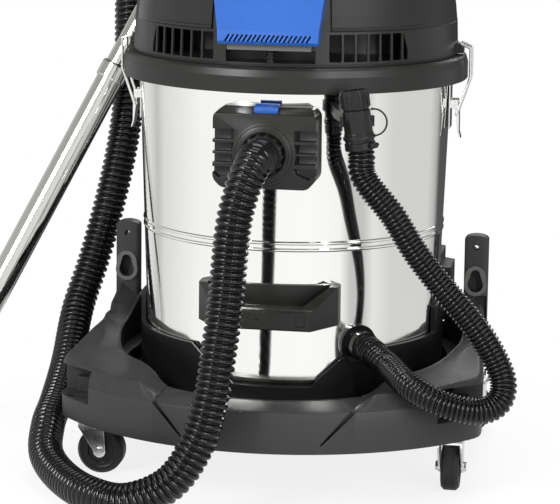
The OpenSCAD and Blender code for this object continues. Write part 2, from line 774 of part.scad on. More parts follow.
module hose_cuff() {
  lobes = 14;
  color(black)
    translate([0, cuff_y, inlet_z]) rotate([-90, 0, 0]) {
      for (i = [0:lobes - 1])
        rotate([0, 0, 360 * i / lobes]) translate([hose_d / 2 + 1.6, 0, 3])
          cylinder(r = 3, h = 13, $fn = small_fn);
      rotate_extrude()
        polygon([[hose_d / 2 - 5.5, 0], [hose_d / 2 + 1, 0], [hose_d / 2 + 2.6, 4],
          [hose_d / 2 + 3.4, 17], [inlet_bore / 2 + 7.8, 18], [inlet_bore / 2 + 7.8, 30],
          [inlet_bore / 2 - 1.5, 30], [hose_d / 2 - 5.5, 10]]);
    }
}

// ---------------------------------------------------------------- hoses
// Route points are joined by a smooth curve; ribs are laid at even arc length along it.
k_z = drum_rim_z / 562;
function rt(x, y, z) = [x * kx, y * kx, z * k_z];
main_end = hand_at + hand_dir * (4 + cuff_len);
main_route = concat(
  [[0, cuff_y, inlet_z], [0, cuff_y - hose_d / 2, inlet_z], [-1, cuff_y - hose_d, inlet_z]],
  [rt(-10, -352, 440), rt(-20, -362, 396), rt(-25, -366, 345), rt(-28, -374, 290),
    rt(-34, -386, 230), rt(-42, -396, 168), rt(-58, -404, 110), rt(-92, -410, 58),
    [-150 * kx, -404 * kx, 29], [-208 * kx, -370 * kx, hose_d / 2 + 1],
    [-263 * kx, -302 * kx, hose_d / 2 + 2], [-301 * kx, -238 * kx, hose_d / 2 + 14],
    rt(-313, -182, 62), rt(-320, -110, 77), rt(-327, -20, 112), rt(-332, 60, 172),
    rt(-317, 98, 240), rt(-299, 114, 315), rt(-286, 140, 394), rt(-281, 168, 468),
    rt(-285, 199, 542), rt(-291, 227, 617), rt(-295, 259, 698)],
  [hand_at + [-127, 33, -97], hand_at + [-121, 69, -27], hand_at + [-99, 89, 23],
    main_end + hand_dir * hose_d, main_end + hand_dir * hose_d / 2, main_end]);
drain_route = concat(
  [drain_start, drain_start + elbow_dir * drain_d / 2, drain_start + elbow_dir * drain_d],
  [rt(196, -280, 172), rt(226, -301, 161), rt(260, -304, 150), rt(295, -297, 145),
    rt(318, -286, 156), rt(322, -276, 182), rt(305, -268, 218), rt(276, -264, 258),
    rt(238, -262, 300), rt(201, -262, 346), rt(171, -261, 392)],
  [coup_at - coup_dir * (drain_d + 12), coup_at - coup_dir * drain_d / 2, coup_at]);

function cr(p, i, t) = let (
    n = len(p) - 1, a = p[max(i - 1, 0)], b = p[i], c = p[min(i + 1, n)], d = p[min(i + 2, n)],
    m0 = i == 0 ? c - b : (c - a) / 2, m1 = i + 1 >= n ? c - b : (d - b) / 2)
  (2 * t * t * t - 3 * t * t + 1) * b + (t * t * t - 2 * t * t + t) * m0
  + (3 * t * t - 2 * t * t * t) * c + (t * t * t - t * t) * m1;
function dense(p, k) = [for (i = [0:len(p) - 2]) for (j = [0:k - 1]) cr(p, i, j / k), p[len(p) - 1]];
function sums(q) = [for (i = 0, s = 0; i < len(q); s = s + (i + 1 < len(q) ? norm(q[i + 1] - q[i]) : 0),
    i = i + 1) s];
function axis_table(q, s, a) = [for (i = [0:len(q) - 1]) [s[i], q[i][a]]];
function spots(p, n) = let (
    q = dense(p, 12), s = sums(q), tx = axis_table(q, s, 0), ty = axis_table(q, s, 1),
    tz = axis_table(q, s, 2), total = s[len(s) - 1])
  [for (i = [0:n - 1]) let (u = total * i / (n - 1)) [lookup(u, tx), lookup(u, ty), lookup(u, tz)]];
function tangents(c, t0, t1) = [for (i = [0:len(c) - 1])
    i == 0 ? t0 : i == len(c) - 1 ? t1 : unit(c[i + 1] - c[i - 1])];
function carry(n, t) = unit(n - (n * t) * t);
function normals(t) = [for (i = 0, n = carry([0.3, 0.2, 1], t[0]); i < len(t);
    i = i + 1, n = i < len(t) ? carry(n, t[i]) : n) n];
sides = 8;
function rings(c, t, n, r) = [for (i = [0:len(c) - 1]) let (b = cross(t[i], n[i]))
    for (k = [0:sides - 1]) c[i] + r[i] * (cos(360 * k / sides) * n[i] + sin(360 * k / sides) * b)];
function skin(a, b, flip) = [for (k = [0:sides - 1]) let (l = (k + 1) % sides)
    each flip ? [[a + k, b + l, b + k], [a + k, a + l, b + l]]
      : [[a + k, b + k, b + l], [a + k, b + l, a + l]]];

// outer rings alternate between valley and crest, inner rings form the bore
module ribbed(p, t0, t1, ribs, r_out, r_valley, r_bore) {
  n = 2 * ribs + 1;
  step = 4;
  c = spots(p, n);
  t = tangents(c, t0, t1);
  m = normals(t);
  r = [for (i = [0:n - 1]) i % 2 == 1 ? r_out : r_valley];
  pick = [for (i = [0:step:n - 2]) i, n - 1];
  ci = [for (i = pick) c[i]];
  ti = [for (i = pick) t[i]];
  mi = [for (i = pick) m[i]];
  ri = [for (i = pick) r_bore];
  o = n * sides;
  k = len(pick);
  polyhedron(
    points = concat(rings(c, t, m, r), rings(ci, ti, mi, ri)),
    faces = concat(
      [for (i = [0:n - 2]) each skin(i * sides, (i + 1) * sides, false)],
      [for (i = [0:k - 2]) each skin(o + i * sides, o + (i + 1) * sides, true)],
      skin(0, o, true),
      skin((n - 1) * sides, o + (k - 1) * sides, false)),
    convexity = 10);
}
module main_hose() {
  color(black)
    ribbed(main_route, [0, -1, 0], -hand_dir, 150, hose_d / 2, hose_d / 2 - 3, hose_d / 2 - 6);
}
module drain_hose() {
  color(black)
    ribbed(drain_route, elbow_dir, coup_dir, 70, drain_d / 2, drain_d / 2 - 2.4, drain_d / 2 - 5);
}

// ---------------------------------------------------------------- latches
latch_px = rim_r + 6.4;
latch_pz = drum_rim_z - 54;
latch_bx = latch_px + 3.5;
latch_bz = latch_pz - 14;
wire_r = 1.8;
knee_r = wire_r + 0.08;
wire_y = 14.2;
pin_r = 2;
bail_out = band_r + 5;
hook_x = skirt_r + 6;
hook_z = skirt_z + 12.7;
// the hoop's bar lies on a keeper that falls away outwards
keeper_slope = 36;
keeper_r = skirt_r + 9;
function keeper_z(r) = hook_z - (knee_r + 0.3) / cos(keeper_slope) - (r - hook_x) * tan(keeper_slope);

module side_of(s) {
  rotate([0, 0, s > 0 ? 0 : 180]) children();
}
module rod(a, b, r) {
  translate(a) rotate([0, acos((b - a)[2] / norm(b - a)), atan2((b - a)[1], (b - a)[0])])
    cylinder(r = r, h = norm(b - a), $fn = small_fn);
}
module latch_bases() {
  x0 = drum_r(latch_pz + 30) + 0.2;
  color(chrome)
    for (s = [-1, 1])
      side_of(s) {
        difference() {
          union() {
            translate([x0, -17, latch_pz - 34]) cube([1.6, 34, 66]);
            for (t = [-1, 1])
              translate([x0 + 1, t * 11 - 1, latch_pz - 6]) cube([latch_px - x0 + 4, 2, 12]);
          }
        }
        translate([latch_px, -12.4, latch_pz]) rotate([-90, 0, 0])
          cylinder(r = pin_r, h = 24.8, $fn = small_fn);
      }
}
module lever_at(s) {
  color(chrome)
    side_of(s)
      difference() {
        union() {
          translate([latch_px, -9.6, latch_pz]) rotate([-90, 0, 0]) cylinder(r = 3.6, h = 19.2, $fn = fine_fn);
          translate([latch_bx, -9.6, latch_bz]) rotate([-90, 0, 0]) cylinder(r = 3.2, h = 19.2, $fn = fine_fn);
          translate([0, 9.6, 0]) rotate([90, 0, 0]) linear_extrude(19.2)
            polygon([[latch_px - 0.6, latch_pz], [latch_px + 3.5, latch_pz], [latch_bx + 3.1, latch_bz],
              [latch_bx + 3.5, latch_bz - 26], [latch_bx + 6, latch_bz - 34],
              [latch_bx + 4.6, latch_bz - 35], [latch_bx + 1.6, latch_bz - 26],
              [latch_bx - 1.5, latch_bz]]);
        }
        translate([latch_px, -20, latch_pz]) rotate([-90, 0, 0])
          cylinder(r = pin_r + fit_run, h = 40, $fn = small_fn);
        translate([latch_bx, -20, latch_bz]) rotate([-90, 0, 0])
          cylinder(r = wire_r + fit_run, h = 40, $fn = small_fn);
      }
}
module bail_at(s) {
  knee = [bail_out, 0, band_z + 2];
  top = [bail_out, 0, skirt_z + 7];
  color(chrome)
    side_of(s) {
      for (t = [-1, 1]) {
        rod([latch_bx, t * 4, latch_bz], [latch_bx, t * wire_y, latch_bz], wire_r);
        rod([latch_bx, t * wire_y, latch_bz], knee + [0, t * wire_y, 0], wire_r);
        rod(knee + [0, t * wire_y, 0], top + [0, t * wire_y, 0], wire_r);
        rod(top + [0, t * wire_y, 0], [hook_x, t * wire_y, hook_z], wire_r);
        translate([latch_bx, t * wire_y, latch_bz]) sphere(r = knee_r, $fn = small_fn);
        translate(knee + [0, t * wire_y, 0]) sphere(r = knee_r, $fn = small_fn);
        translate(top + [0, t * wire_y, 0]) sphere(r = knee_r, $fn = small_fn);
        translate([hook_x, t * wire_y, hook_z]) sphere(r = knee_r, $fn = small_fn);
      }
      rod([hook_x, -wire_y, hook_z], [hook_x, wire_y, hook_z], wire_r);
    }
}
module latch_lever_l() lever_at(-1);
module latch_lever_r() lever_at(1);
module latch_bail_l() bail_at(-1);
module latch_bail_r() bail_at(1);

// ---------------------------------------------------------------- head
plate_r = rim_r + 5.8;
flange_r = skirt_r - 0.5;
plate_z = drum_rim_z + 9;
motor_x = 92 * kx;
fan_case_r = 66;
fan_case_h = 40;
motor_r = 46;
motor_h = 66;
fan_r = 58;
recess_a = 14;
vent_a0 = 20;
vent_a1 = 50;

float_seat = 20;
module motor_plate() {
  duct_z = plate_z + 3;
  color(dark)
    difference() {
      union() {
        translate([0, 0, plate_z]) cylinder(r = plate_r, h = skirt_z - plate_z);
        translate([0, 0, band_top + fit_slide])
          cylinder(r = flange_r, h = skirt_z - band_top - fit_slide);
      }
      translate([0, 0, plate_z - 1]) cylinder(r = float_seat, h = 5);
      translate([-motor_x, -20, duct_z]) cube([2 * motor_x, 40, 4]);
      for (s = [-1, 1])
        translate([s * motor_x, 0, duct_z]) cylinder(r = 22, h = 20);
    }
}
// open ring sector between two angles measured from the front towards +X
module sector(ro, ri, z, h, a0, a1) {
  translate([0, 0, z]) rotate([0, 0, a0 - 90])
    rotate_extrude(angle = a1 - a0) translate([ri, 0]) square([ro - ri, h]);
}
module vents(s) {
  in_r = skirt_r - head_wall - 1;
  difference() {
    sector(skirt_r + 1, in_r, skirt_z + 4, skirt_h - 8, s > 0 ? vent_a0 : -vent_a1,
      s > 0 ? vent_a1 : -vent_a0);
    for (i = [1:6])
      rotate([0, 0, s * (vent_a0 + i * 4.6)])
        translate([-1.5, -skirt_r - 2, skirt_z]) cube([3, 12, skirt_h]);
    rotate([0, 0, s * (vent_a1 + 1)]) translate([0, -skirt_r, skirt_z + 2])
      rotate([0, s * -16, 0]) translate([s > 0 ? 0 : -30, -6, -10]) cube([30, 20, 80]);
  }
}
module head_skirt() {
  in_r = skirt_r - head_wall;
  rec = 60 * kx;
  color(dark) {
    difference() {
      union() {
        translate([0, 0, skirt_z])
          difference() {
            cylinder(r1 = skirt_r, r2 = skirt_r - 1.6, h = skirt_h);
            translate([0, 0, -1]) cylinder(r = in_r, h = skirt_h + 2);
          }
        for (s = [-1, 1])
          side_of(s) translate([0, 11, 0]) rotate([90, 0, 0]) linear_extrude(22)
            polygon([[in_r + 1, skirt_z], [keeper_r, skirt_z], [keeper_r, keeper_z(keeper_r)],
              [skirt_r - 1, keeper_z(skirt_r - 1)], [in_r + 1, keeper_z(skirt_r - 1)]]);
        intersection() {
          translate([-rec - 3, -skirt_r + 2, skirt_z]) cube([2 * rec + 6, 42, 24]);
          translate([0, 0, skirt_z]) cylinder(r = skirt_r - 1.7, h = 60);
        }
      }
      translate([-rec, -skirt_r - 10, skirt_z + 2]) cube([2 * rec, 50, 17.2]);
      translate([-bar_half - 0.2, -skirt_r - 10, bar_z - 0.2])
        cube([2 * bar_half + 0.4, 22.2, bar_h + 0.4]);
      vents(1);
      vents(-1);
      translate([0, skirt_r - 12, gland_z]) rotate([-90, 0, 0]) cylinder(r = 8, h = 30);
    }
  }
}
gland_z = skirt_z + 13.5;
bar_half = 56 * kx;
bar_z = skirt_z + 19.4;
bar_h = 7;
shell_pts = [[-2, 0], [-4, 20], [-7, 40], [-10, 72], [-16, 96], [-34, 118], [-66, 132], [-110, 140]];
function shell_line(g) = [for (p = shell_pts)
    [skirt_r + p[0] * kx + g, shell_z + p[1] * shell_h / 142 + (p[1] > 100 ? g : 0)]];
module shell_body(g) {
  rotate_extrude($fn = 180)
    polygon(concat([[0, shell_z - g]], [[skirt_r - 2 * kx + g, shell_z - g]], shell_line(g),
      [[0, shell_top + g]]));
}
module head_shell() {
  w = head_wall;
  line = shell_line(-w);
  inner = [for (i = [len(line) - 1:-1:1]) line[i]];
  color(dark)
    difference() {
      rotate_extrude($fn = 180)
        polygon(concat([[skirt_r - 2 * kx, shell_z]], shell_line(0),
          [[0, shell_top], [0, shell_top - w]], inner, [[skirt_r - 2 * kx - w, shell_z]]));
      for (s = [-1, 1]) rock_place(s) cube([23, 32, 40], center = true);
    }
}
module cover_at(a0, a1, tone) {
  r0 = skirt_r;
  z = shell_z + 1;
  k = shell_h / 142;
  color(tone)
    rotate([0, 0, a0 - 90])
      rotate_extrude(angle = a1 - a0, $fn = 180)
        polygon([[r0 - 1.8 * kx, z], [r0 + 1.4 * kx, z], [r0 + 1.8, z + 3], [r0 + 0.6, z + 5],
          [r0 - 0.6 * kx, z + 20 * k], [r0 - 3.6 * kx, z + 40 * k], [r0 - 6.8 * kx, z + 74 * k],
          [r0 - 9.8 * kx, z + 71 * k], [r0 - 6.7 * kx, z + 39 * k], [r0 - 3.7 * kx, z + 19 * k]]);
}
module cover_left() cover_at(-63, -20.6, black);
module cover_right() {
  difference() {
    cover_at(20.6, 63, dark);
    rotate([0, 0, 57]) translate([0, -skirt_r, shell_z])
      rotate([0, 10, 0]) translate([0, -20, -20]) cube([60, 60, 160]);
  }
}

// hood profile seen from the side, y and height above the skirt's lower edge
hood_pts = [[-240, 27], [-246, 32], [-242, 46], [-238, 104], [-200, 174], [-150, 192], [-60, 202],
  [60, 203], [150, 194], [204, 166], [229, 120], [232, 80], [232, 34], [232, 27]];
hood_top = 203;
s_z = (skirt_h + shell_h) / 186;
module hood_solid(g) {
  hw = hood_half * kx + g;
  // front outline: narrow at the foot, widest at two thirds
  intersection() {
    side_profile(2 * hw + 20)
      offset(delta = g) polygon([for (p = hood_pts) [p[0] * kx, skirt_z + p[1] * s_z]]);
    front_profile(-plan_r, plan_r)
      polygon([[-hw + 10, skirt_z + 20], [hw - 10, skirt_z + 20], [hw - 8.5, skirt_z + 46],
        [hw, skirt_z + 110], [hw - 3, skirt_z + 160], [hw - 12, skirt_z + 210],
        [-hw + 12, skirt_z + 210], [-hw + 3, skirt_z + 160], [-hw, skirt_z + 110],
        [-hw + 8.5, skirt_z + 46]]);
  }
}
rock_y = -219 * kx;
rock_z = skirt_z + 139 * s_z;
rock_t = 90 - atan2(38 * kx, 70 * s_z);
rock_x = 30;

module rock_place(s) {
  translate([s * rock_x, rock_y, rock_z]) rotate([rock_t, 0, 0]) children();
}
// skin of the hood outside the round shell, its foot in front of the skirt
module blue_hood() {
  wall = 3.5;
  color(blue)
    difference() {
      hood_solid(0);
      hood_solid(-wall);
      shell_body(fit_part);
      translate([0, 0, skirt_z - 30]) cylinder(r = skirt_r + fit_part, h = skirt_h + 31);
      for (i = [-9:9])
        translate([i * 6, -246 * kx, skirt_z + 36 * s_z]) rotate([0, 30, 0])
          cube([2.4, 14, 11], center = true);
      for (s = [-1, 1]) rock_place(s) cube([21, 30, 30], center = true);
    }
}
module rocker_at(s) {
  color(black)
    rock_place(s) translate([0, 0, -3]) rotate([-9, 0, 0])
      side_profile(20.4)
        polygon([[-14, -1], [-14, 5], [-13, 6], [0, 4], [13, 6], [14, 5], [14, -1], [4, -6], [-4, -6]]);
}
module rocker_a() rocker_at(-1);
module rocker_b() rocker_at(1);
module grey_bar() {
  color(light_grey)
    translate([-bar_half, -skirt_r - 5, bar_z]) cube([2 * bar_half, 17, bar_h]);
}
module recess_stud() {
  color(chrome)
    translate([0, -skirt_r + 11, skirt_z + 2])
      rotate_extrude($fn = small_fn)
        polygon([[0, 0], [7, 0], [7, 2.5], [4.6, 3.5], [4.6, 5], [6.6, 6], [6.6, 8], [4.6, 9],
          [4.6, 10.5], [6.6, 11.5], [6.6, 13.5], [4.6, 14.5], [4.6, 17.2], [0, 17.2]]);
}
module carry_handle() {
  z0 = skirt_z + (hood_top - 14) * s_z;
  gap_top = skirt_z + hood_top * s_z + grip_gap;
  top = gap_top + 20;
  color(dark)
    difference() {
      side_profile(36)
        difference() {
          polygon([[-118, z0], [-98, top - 8], [-88, top], [88, top], [98, top - 8], [118, z0]]);
          polygon([[-86, z0 - 1], [-72, gap_top - 4], [-66, gap_top], [66, gap_top],
            [72, gap_top - 4], [86, z0 - 1]]);
        }
      hood_solid(eps);
    }
}
module motor_at(s) {
  translate([s * motor_x, 0, skirt_z]) {
    difference() {
      cylinder(r = fan_case_r, h = fan_case_h);
      translate([0, 0, 3]) cylinder(r = fan_r + 3, h = fan_case_h - 6);
      translate([0, 0, -1]) cylinder(r = 22, h = 9);
      translate([0, 0, fan_case_h - 4]) cylinder(r = 4 + fit_run, h = 9, $fn = small_fn);
    }
    difference() {
      translate([0, 0, fan_case_h]) cylinder(r = motor_r, h = motor_h);
      translate([0, 0, fan_case_h - 1]) cylinder(r = 4 + fit_run, h = 21, $fn = small_fn);
      for (a = [0:45:315])
        rotate([0, 0, a]) translate([motor_r, 0, fan_case_h + 46]) cube([12, 10, 22], center = true);
    }
  }
}
module motors() {
  color(steel) {
    motor_at(-1);
    motor_at(1);
  }
}
module fan_at(s) {
  color(steel)
    translate([s * motor_x, 0, skirt_z]) {
      translate([0, 0, 8]) cylinder(r = 4, h = fan_case_h + 8, $fn = small_fn);
      difference() {
        translate([0, 0, 7]) cylinder(r = fan_r, h = 2);
        translate([0, 0, 6]) cylinder(r = 18, h = 2.2);
      }
      translate([0, 0, 28]) cylinder(r = fan_r, h = 2);
      for (a = [0:40:320])
        rotate([0, 0, a]) translate([20, -1, 8]) rotate([0, 0, 25]) cube([32, 2, 21]);
    }
}
module fan_a() fan_at(-1);
module fan_b() fan_at(1);
module gasket() {
  color(black) ring(plate_r, rim_r - 7.6, plate_z - 4.7, 4.65);
}
filter_r = 152 * kx;
filter_h = 154;
module filter_cloth() {
  zt = plate_z - 2.7;
  color([0.75, 0.74, 0.70])
    rotate_extrude()
      polygon([[rim_r - 8, zt], [rim_r - 8, zt - 1.6], [filter_r, zt - 1.6],
        [filter_r - 6, zt - filter_h + 14], [filter_r - 20, zt - filter_h], [0, zt - filter_h],
        [0, zt - filter_h + 1.6], [filter_r - 21, zt - filter_h + 1.6],
        [filter_r - 7.6, zt - filter_h + 15], [filter_r - 1.8, zt]]);
}
module filter_basket() {
  zt = plate_z - eps;
  w = 2.6;
  ri = filter_r - 1.8 - fit_part;
  color(black)
    difference() {
      rotate_extrude()
        polygon([[ri, zt], [ri, zt - 3], [ri - 5.6, zt - filter_h + 18],
          [ri - 19, zt - filter_h + 5], [0, zt - filter_h + 5], [0, zt - filter_h + 5 + w],
          [ri - 20, zt - filter_h + 5 + w], [ri - 5.6 - w, zt - filter_h + 19], [ri - w, zt - 3],
          [ri - 30, zt - 3], [ri - 30, zt]]);
      for (a = [0:30:330])
        rotate([0, 0, a]) {
          translate([ri - 12, -27, zt - filter_h + 24]) cube([24, 54, filter_h - 36]);
          translate([ri - 64, -12, zt - filter_h]) cube([38, 24, 20]);
        }
    }
}
cage_h = 88;
ball_r = 32;
module float_cage() {
  top = plate_z - eps;
  h = cage_h;
  color(dark) {
    difference() {
      translate([0, 0, top - h]) cylinder(r = 52, h = h);
      translate([0, 0, top - h + 3]) cylinder(r = 49, h = h);
      for (a = [0:45:315])
        rotate([0, 0, a + 22.5]) translate([50, 0, top - h / 2 - 4]) cube([12, 22, 56], center = true);
      for (a = [0:60:300])
        rotate([0, 0, a]) translate([30, 0, top - h - 1]) cylinder(r = 9, h = 9, $fn = fine_fn);
    }
    ring(68, 49, top - 3, 3);
  }
}
module float_ball() {
  color([0.85, 0.85, 0.82])
    translate([0, 0, plate_z - cage_h + 3 + fit_slide + ball_r])
      sphere(r = ball_r, $fn = 64);
}
module cord_gland() {
  color(black)
    translate([0, skirt_r - 9, gland_z]) rotate([-90, 0, 0])
      rotate_extrude($fn = fine_fn)
        polygon([[4, 0], [7.9, 0], [7.9, 9.4], [12, 10], [12, 15], [8, 17], [7, 34], [4, 34]]);
}

tray();
side_legs();
socket_bezels();
foot_collar();
rear_block();
caster_plates();
caster_screws();
drum();
ring_band();
inlet_plate();
inlet_tab();
inlet_deflector();
front_handle();
drain_elbow();
drain_hose();
drain_clamp();
drain_sleeve();
drain_cap();
drain_tether();
drain_clip();
main_hose();
hose_cuff();
wand_lower();
wand_upper();
hand_tube();
wand_collar();
hand_cuff();
latch_bases();
latch_lever_l();
latch_lever_r();
latch_bail_l();
latch_bail_r();
motor_plate();
head_skirt();
head_shell();
cover_left();
cover_right();
blue_hood();
grey_bar();
recess_stud();
carry_handle();
rocker_a();
rocker_b();
motors();
fan_a();
fan_b();
gasket();
float_cage();
float_ball();
filter_cloth();
filter_basket();
cord_gland();
fork_fl();
fork_fr();
fork_rl();
fork_rr();
wheel_fl();
wheel_fr();
wheel_rl();
wheel_rr();
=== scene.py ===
import math
import bmesh
import bpy
import numpy as np
from mathutils import Matrix


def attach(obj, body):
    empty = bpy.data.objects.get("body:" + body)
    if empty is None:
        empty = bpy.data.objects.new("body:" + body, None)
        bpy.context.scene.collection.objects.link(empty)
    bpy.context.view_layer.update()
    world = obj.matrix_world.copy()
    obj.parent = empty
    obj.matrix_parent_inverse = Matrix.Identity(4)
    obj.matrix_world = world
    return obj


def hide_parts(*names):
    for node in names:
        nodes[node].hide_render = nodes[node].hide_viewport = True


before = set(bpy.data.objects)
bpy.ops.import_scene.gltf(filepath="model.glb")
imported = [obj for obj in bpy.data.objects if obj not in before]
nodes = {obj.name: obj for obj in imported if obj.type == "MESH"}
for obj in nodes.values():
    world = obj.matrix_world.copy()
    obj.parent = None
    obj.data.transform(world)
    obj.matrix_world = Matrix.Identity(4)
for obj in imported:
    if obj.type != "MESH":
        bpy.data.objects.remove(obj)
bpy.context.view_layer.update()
MM = 0.001


# ---------------------------------------------------------------- camera
# One long lens from just above the drum's middle, a little to the right of the front. Its
# shift frames the trolley and the drum.
def aim_camera(target, azimuth, elevation, distance, roll, lens, shift):
    a, e, r = (math.radians(v) for v in (azimuth, elevation, roll))
    back = np.array([math.sin(a) * math.cos(e), -math.cos(a) * math.cos(e), math.sin(e)])
    right = np.array([math.cos(a), math.sin(a), 0.0])
    up = np.cross(back, right)
    turned_right = math.cos(r) * right + math.sin(r) * up
    turned_up = -math.sin(r) * right + math.cos(r) * up
    data = bpy.data.cameras.new("camera")
    data.lens, data.sensor_width = lens, 36.0
    data.shift_x, data.shift_y = shift
    data.clip_start, data.clip_end = 0.1, 60.0
    camera = bpy.data.objects.new("camera", data)
    matrix = np.eye(4)
    matrix[:3, 0], matrix[:3, 1], matrix[:3, 2] = turned_right, turned_up, back
    matrix[:3, 3] = np.array(target) + distance * back
    camera.matrix_world = Matrix(matrix.tolist())
    bpy.context.scene.collection.objects.link(camera)
    bpy.context.scene.camera = camera


aim_camera((0.0, 0.0, 0.4), 8.86, 9.23, 3.3458, 0.82, 151.2, (-0.0256, -0.1413))
bpy.context.scene.view_settings.view_transform = "Standard"


# ---------------------------------------------------------------- suction hose
# A 48 mm corrugated hose of soft black plastic, blown as one tube with rounded ribs.
# It leaves the inlet's swivel cuff, loops down to the floor, runs back past the front
# wheel and climbs behind the machine to the bent tube at the top of the wand.
def unit(v):
    v = np.asarray(v, float)
    return v / np.linalg.norm(v, axis=-1, keepdims=True)


def smooth_path(points, per_span=12):
    """Catmull-Rom curve through the points: on each span a cubic whose end slopes are half
    the chord between the neighbours, sampled per_span times, as one array."""
    p = np.asarray(points, float)
    before = np.vstack([p[:1], p[:-1]])
    after = np.vstack([p[1:], p[-1:]])
    slope = (after - before) / 2
    slope[0], slope[-1] = p[1] - p[0], p[-1] - p[-2]
    t = (np.arange(per_span) / per_span)[None, :, None]
    a, b, ma, mb = p[:-1, None], p[1:, None], slope[:-1, None], slope[1:, None]
    curve = ((2 * t**3 - 3 * t**2 + 1) * a + (t**3 - 2 * t**2 + t) * ma
             + (3 * t**2 - 2 * t**3) * b + (t**3 - t**2) * mb)
    return np.vstack([curve.reshape(-1, 3), p[-1:]])


def arc_length(path):
    return np.concatenate([[0.0], np.cumsum(np.linalg.norm(np.diff(path, axis=0), axis=1))])


def mesh_object(name, verts, faces, smooth=True, uv=None):
    mesh = bpy.data.meshes.new(name)
    mesh.from_pydata(np.asarray(verts).tolist(), [], [list(map(int, f)) for f in faces])
    if smooth:
        mesh.polygons.foreach_set("use_smooth", [True] * len(mesh.polygons))
    if uv is not None:
        layer = mesh.uv_layers.new(name="along")
        loops = np.zeros(len(mesh.loops), np.int32)
        mesh.loops.foreach_get("vertex_index", loops)
        layer.data.foreach_set("uv", np.asarray(uv, np.float32)[loops].ravel())
    mesh.validate()
    obj = bpy.data.objects.new(name, mesh)
    bpy.context.scene.collection.objects.link(obj)
    return obj


def lattice(rows, columns, close_rows=False, close_columns=True):
    """Quads of a rows by columns grid of vertices, wrapped round where asked."""
    i = np.arange(rows if close_rows else rows - 1)[:, None]
    j = np.arange(columns if close_columns else columns - 1)[None, :]
    i2, j2 = (i + 1) % rows, (j + 1) % columns
    quads = np.stack([i * columns + j, i2 * columns + j, i2 * columns + j2, i * columns + j2], -1)
    return quads.reshape(-1, 4)


def frames_along(line, side_hint, start=None, end=None):
    """Tangents, and two unit normals made by turning side_hint square to the line."""
    t = unit(np.gradient(line, axis=0))
    if start is not None:
        t[0] = unit(start)
    if end is not None:
        t[-1] = unit(end)
    n = unit(side_hint - (t @ np.asarray(side_hint, float))[:, None] * t)
    return t, n, np.cross(t, n)


def corrugated_tube(name, path, ribs, radius, depth, wall, side_hint, start, end, sides=40):
    """Outer skin r(s) = radius - depth * (1 - |sin|^0.8) carried along the path with one
    crest per rib, joined by two end rings to a smooth bore wall metres further in."""
    share = np.array([0.0, 0.07, 0.16, 0.28, 0.42, 0.58, 0.72, 0.84, 0.93])
    phase = np.append((np.arange(ribs)[:, None] + share[None, :]).ravel(), ribs) / ribs
    s = arc_length(path)
    u = phase * s[-1]
    line = np.stack([np.interp(u, s, path[:, k]) for k in range(3)], axis=1)
    t, n, b = frames_along(line, side_hint, start, end)
    crest = np.abs(np.sin(np.pi * phase * ribs)) ** 0.8
    r = radius - depth * (1 - crest)
    a = np.linspace(0, 2 * np.pi, sides, endpoint=False)
    ring = np.cos(a)[None, :, None] * n[:, None] + np.sin(a)[None, :, None] * b[:, None]
    outer = (line[:, None] + r[:, None, None] * ring).reshape(-1, 3)
    pick = np.linspace(0, len(line) - 1, max(24, ribs // 2)).round().astype(int)
    inner = (line[pick][:, None] + (radius - depth - wall) * ring[pick]).reshape(-1, 3)
    faces = lattice(len(line), sides)[:, ::-1]
    bore = lattice(len(pick), sides) + len(outer)
    j = np.arange(sides)
    k = (j + 1) % sides
    last, far = (len(line) - 1) * sides, len(outer) + (len(pick) - 1) * sides
    mouth = np.stack([j, k, len(outer) + k, len(outer) + j], -1)
    tail = np.stack([last + k, last + j, far + j, far + k], -1)
    along = np.concatenate([np.repeat(phase * ribs, sides), np.repeat(phase[pick] * ribs, sides)])
    round_it = np.concatenate([np.tile(a / (2 * np.pi), len(line)), np.tile(a / (2 * np.pi), len(pick))])
    return mesh_object(name, np.vstack([outer, inner]), np.vstack([faces, bore, mouth, tail]),
                       uv=np.stack([along, round_it], 1))


def material(name):
    m = bpy.data.materials.new(name)
    m.use_nodes = True
    tree = m.node_tree
    tree.nodes.clear()
    out = tree.nodes.new("ShaderNodeOutputMaterial")
    body = tree.nodes.new("ShaderNodeBsdfPrincipled")
    tree.links.new(body.outputs[0], out.inputs["Surface"])
    return m, tree, body, out


def add(tree, kind, values=None, links=None, **settings):
    """A node with its settings, default values and incoming links in one call."""
    n = tree.nodes.new("ShaderNode" + kind)
    for key, value in settings.items():
        setattr(n, key, value)
    for key, value in (values or {}).items():
        n.inputs[key].default_value = value
    for key, source in (links or {}).items():
        tree.links.new(source, n.inputs[key])
    return n


def calc(tree, operation, *given, kind="Math"):
    """The result of one arithmetic node, whose operands are numbers, vectors or sockets."""
    wired = {k: v for k, v in enumerate(given) if isinstance(v, bpy.types.NodeSocket)}
    plain = {k: v for k, v in enumerate(given) if k not in wired}
    node = add(tree, kind, plain, wired, operation=operation)
    return node.outputs["Value" if operation in ("DOT_PRODUCT", "LENGTH") else 0]


def spread(tree, value, low, high, to_low=0.0, to_high=1.0, **settings):
    """The value carried from low..high to to_low..to_high, and held at both ends."""
    ends = {"From Min": low, "From Max": high, "To Min": to_low, "To Max": to_high}
    return add(tree, "MapRange", ends, {"Value": value}, **settings).outputs[0]


def noise(tree, vector, scale, detail, roughness=0.5, distortion=0.0):
    """Cloudy noise; its scale is a number or a socket."""
    plain = {"Detail": detail, "Roughness": roughness, "Distortion": distortion}
    wired = {"Vector": vector}
    (wired if isinstance(scale, bpy.types.NodeSocket) else plain)["Scale"] = scale
    return add(tree, "TexNoise", plain, wired).outputs["Fac"]


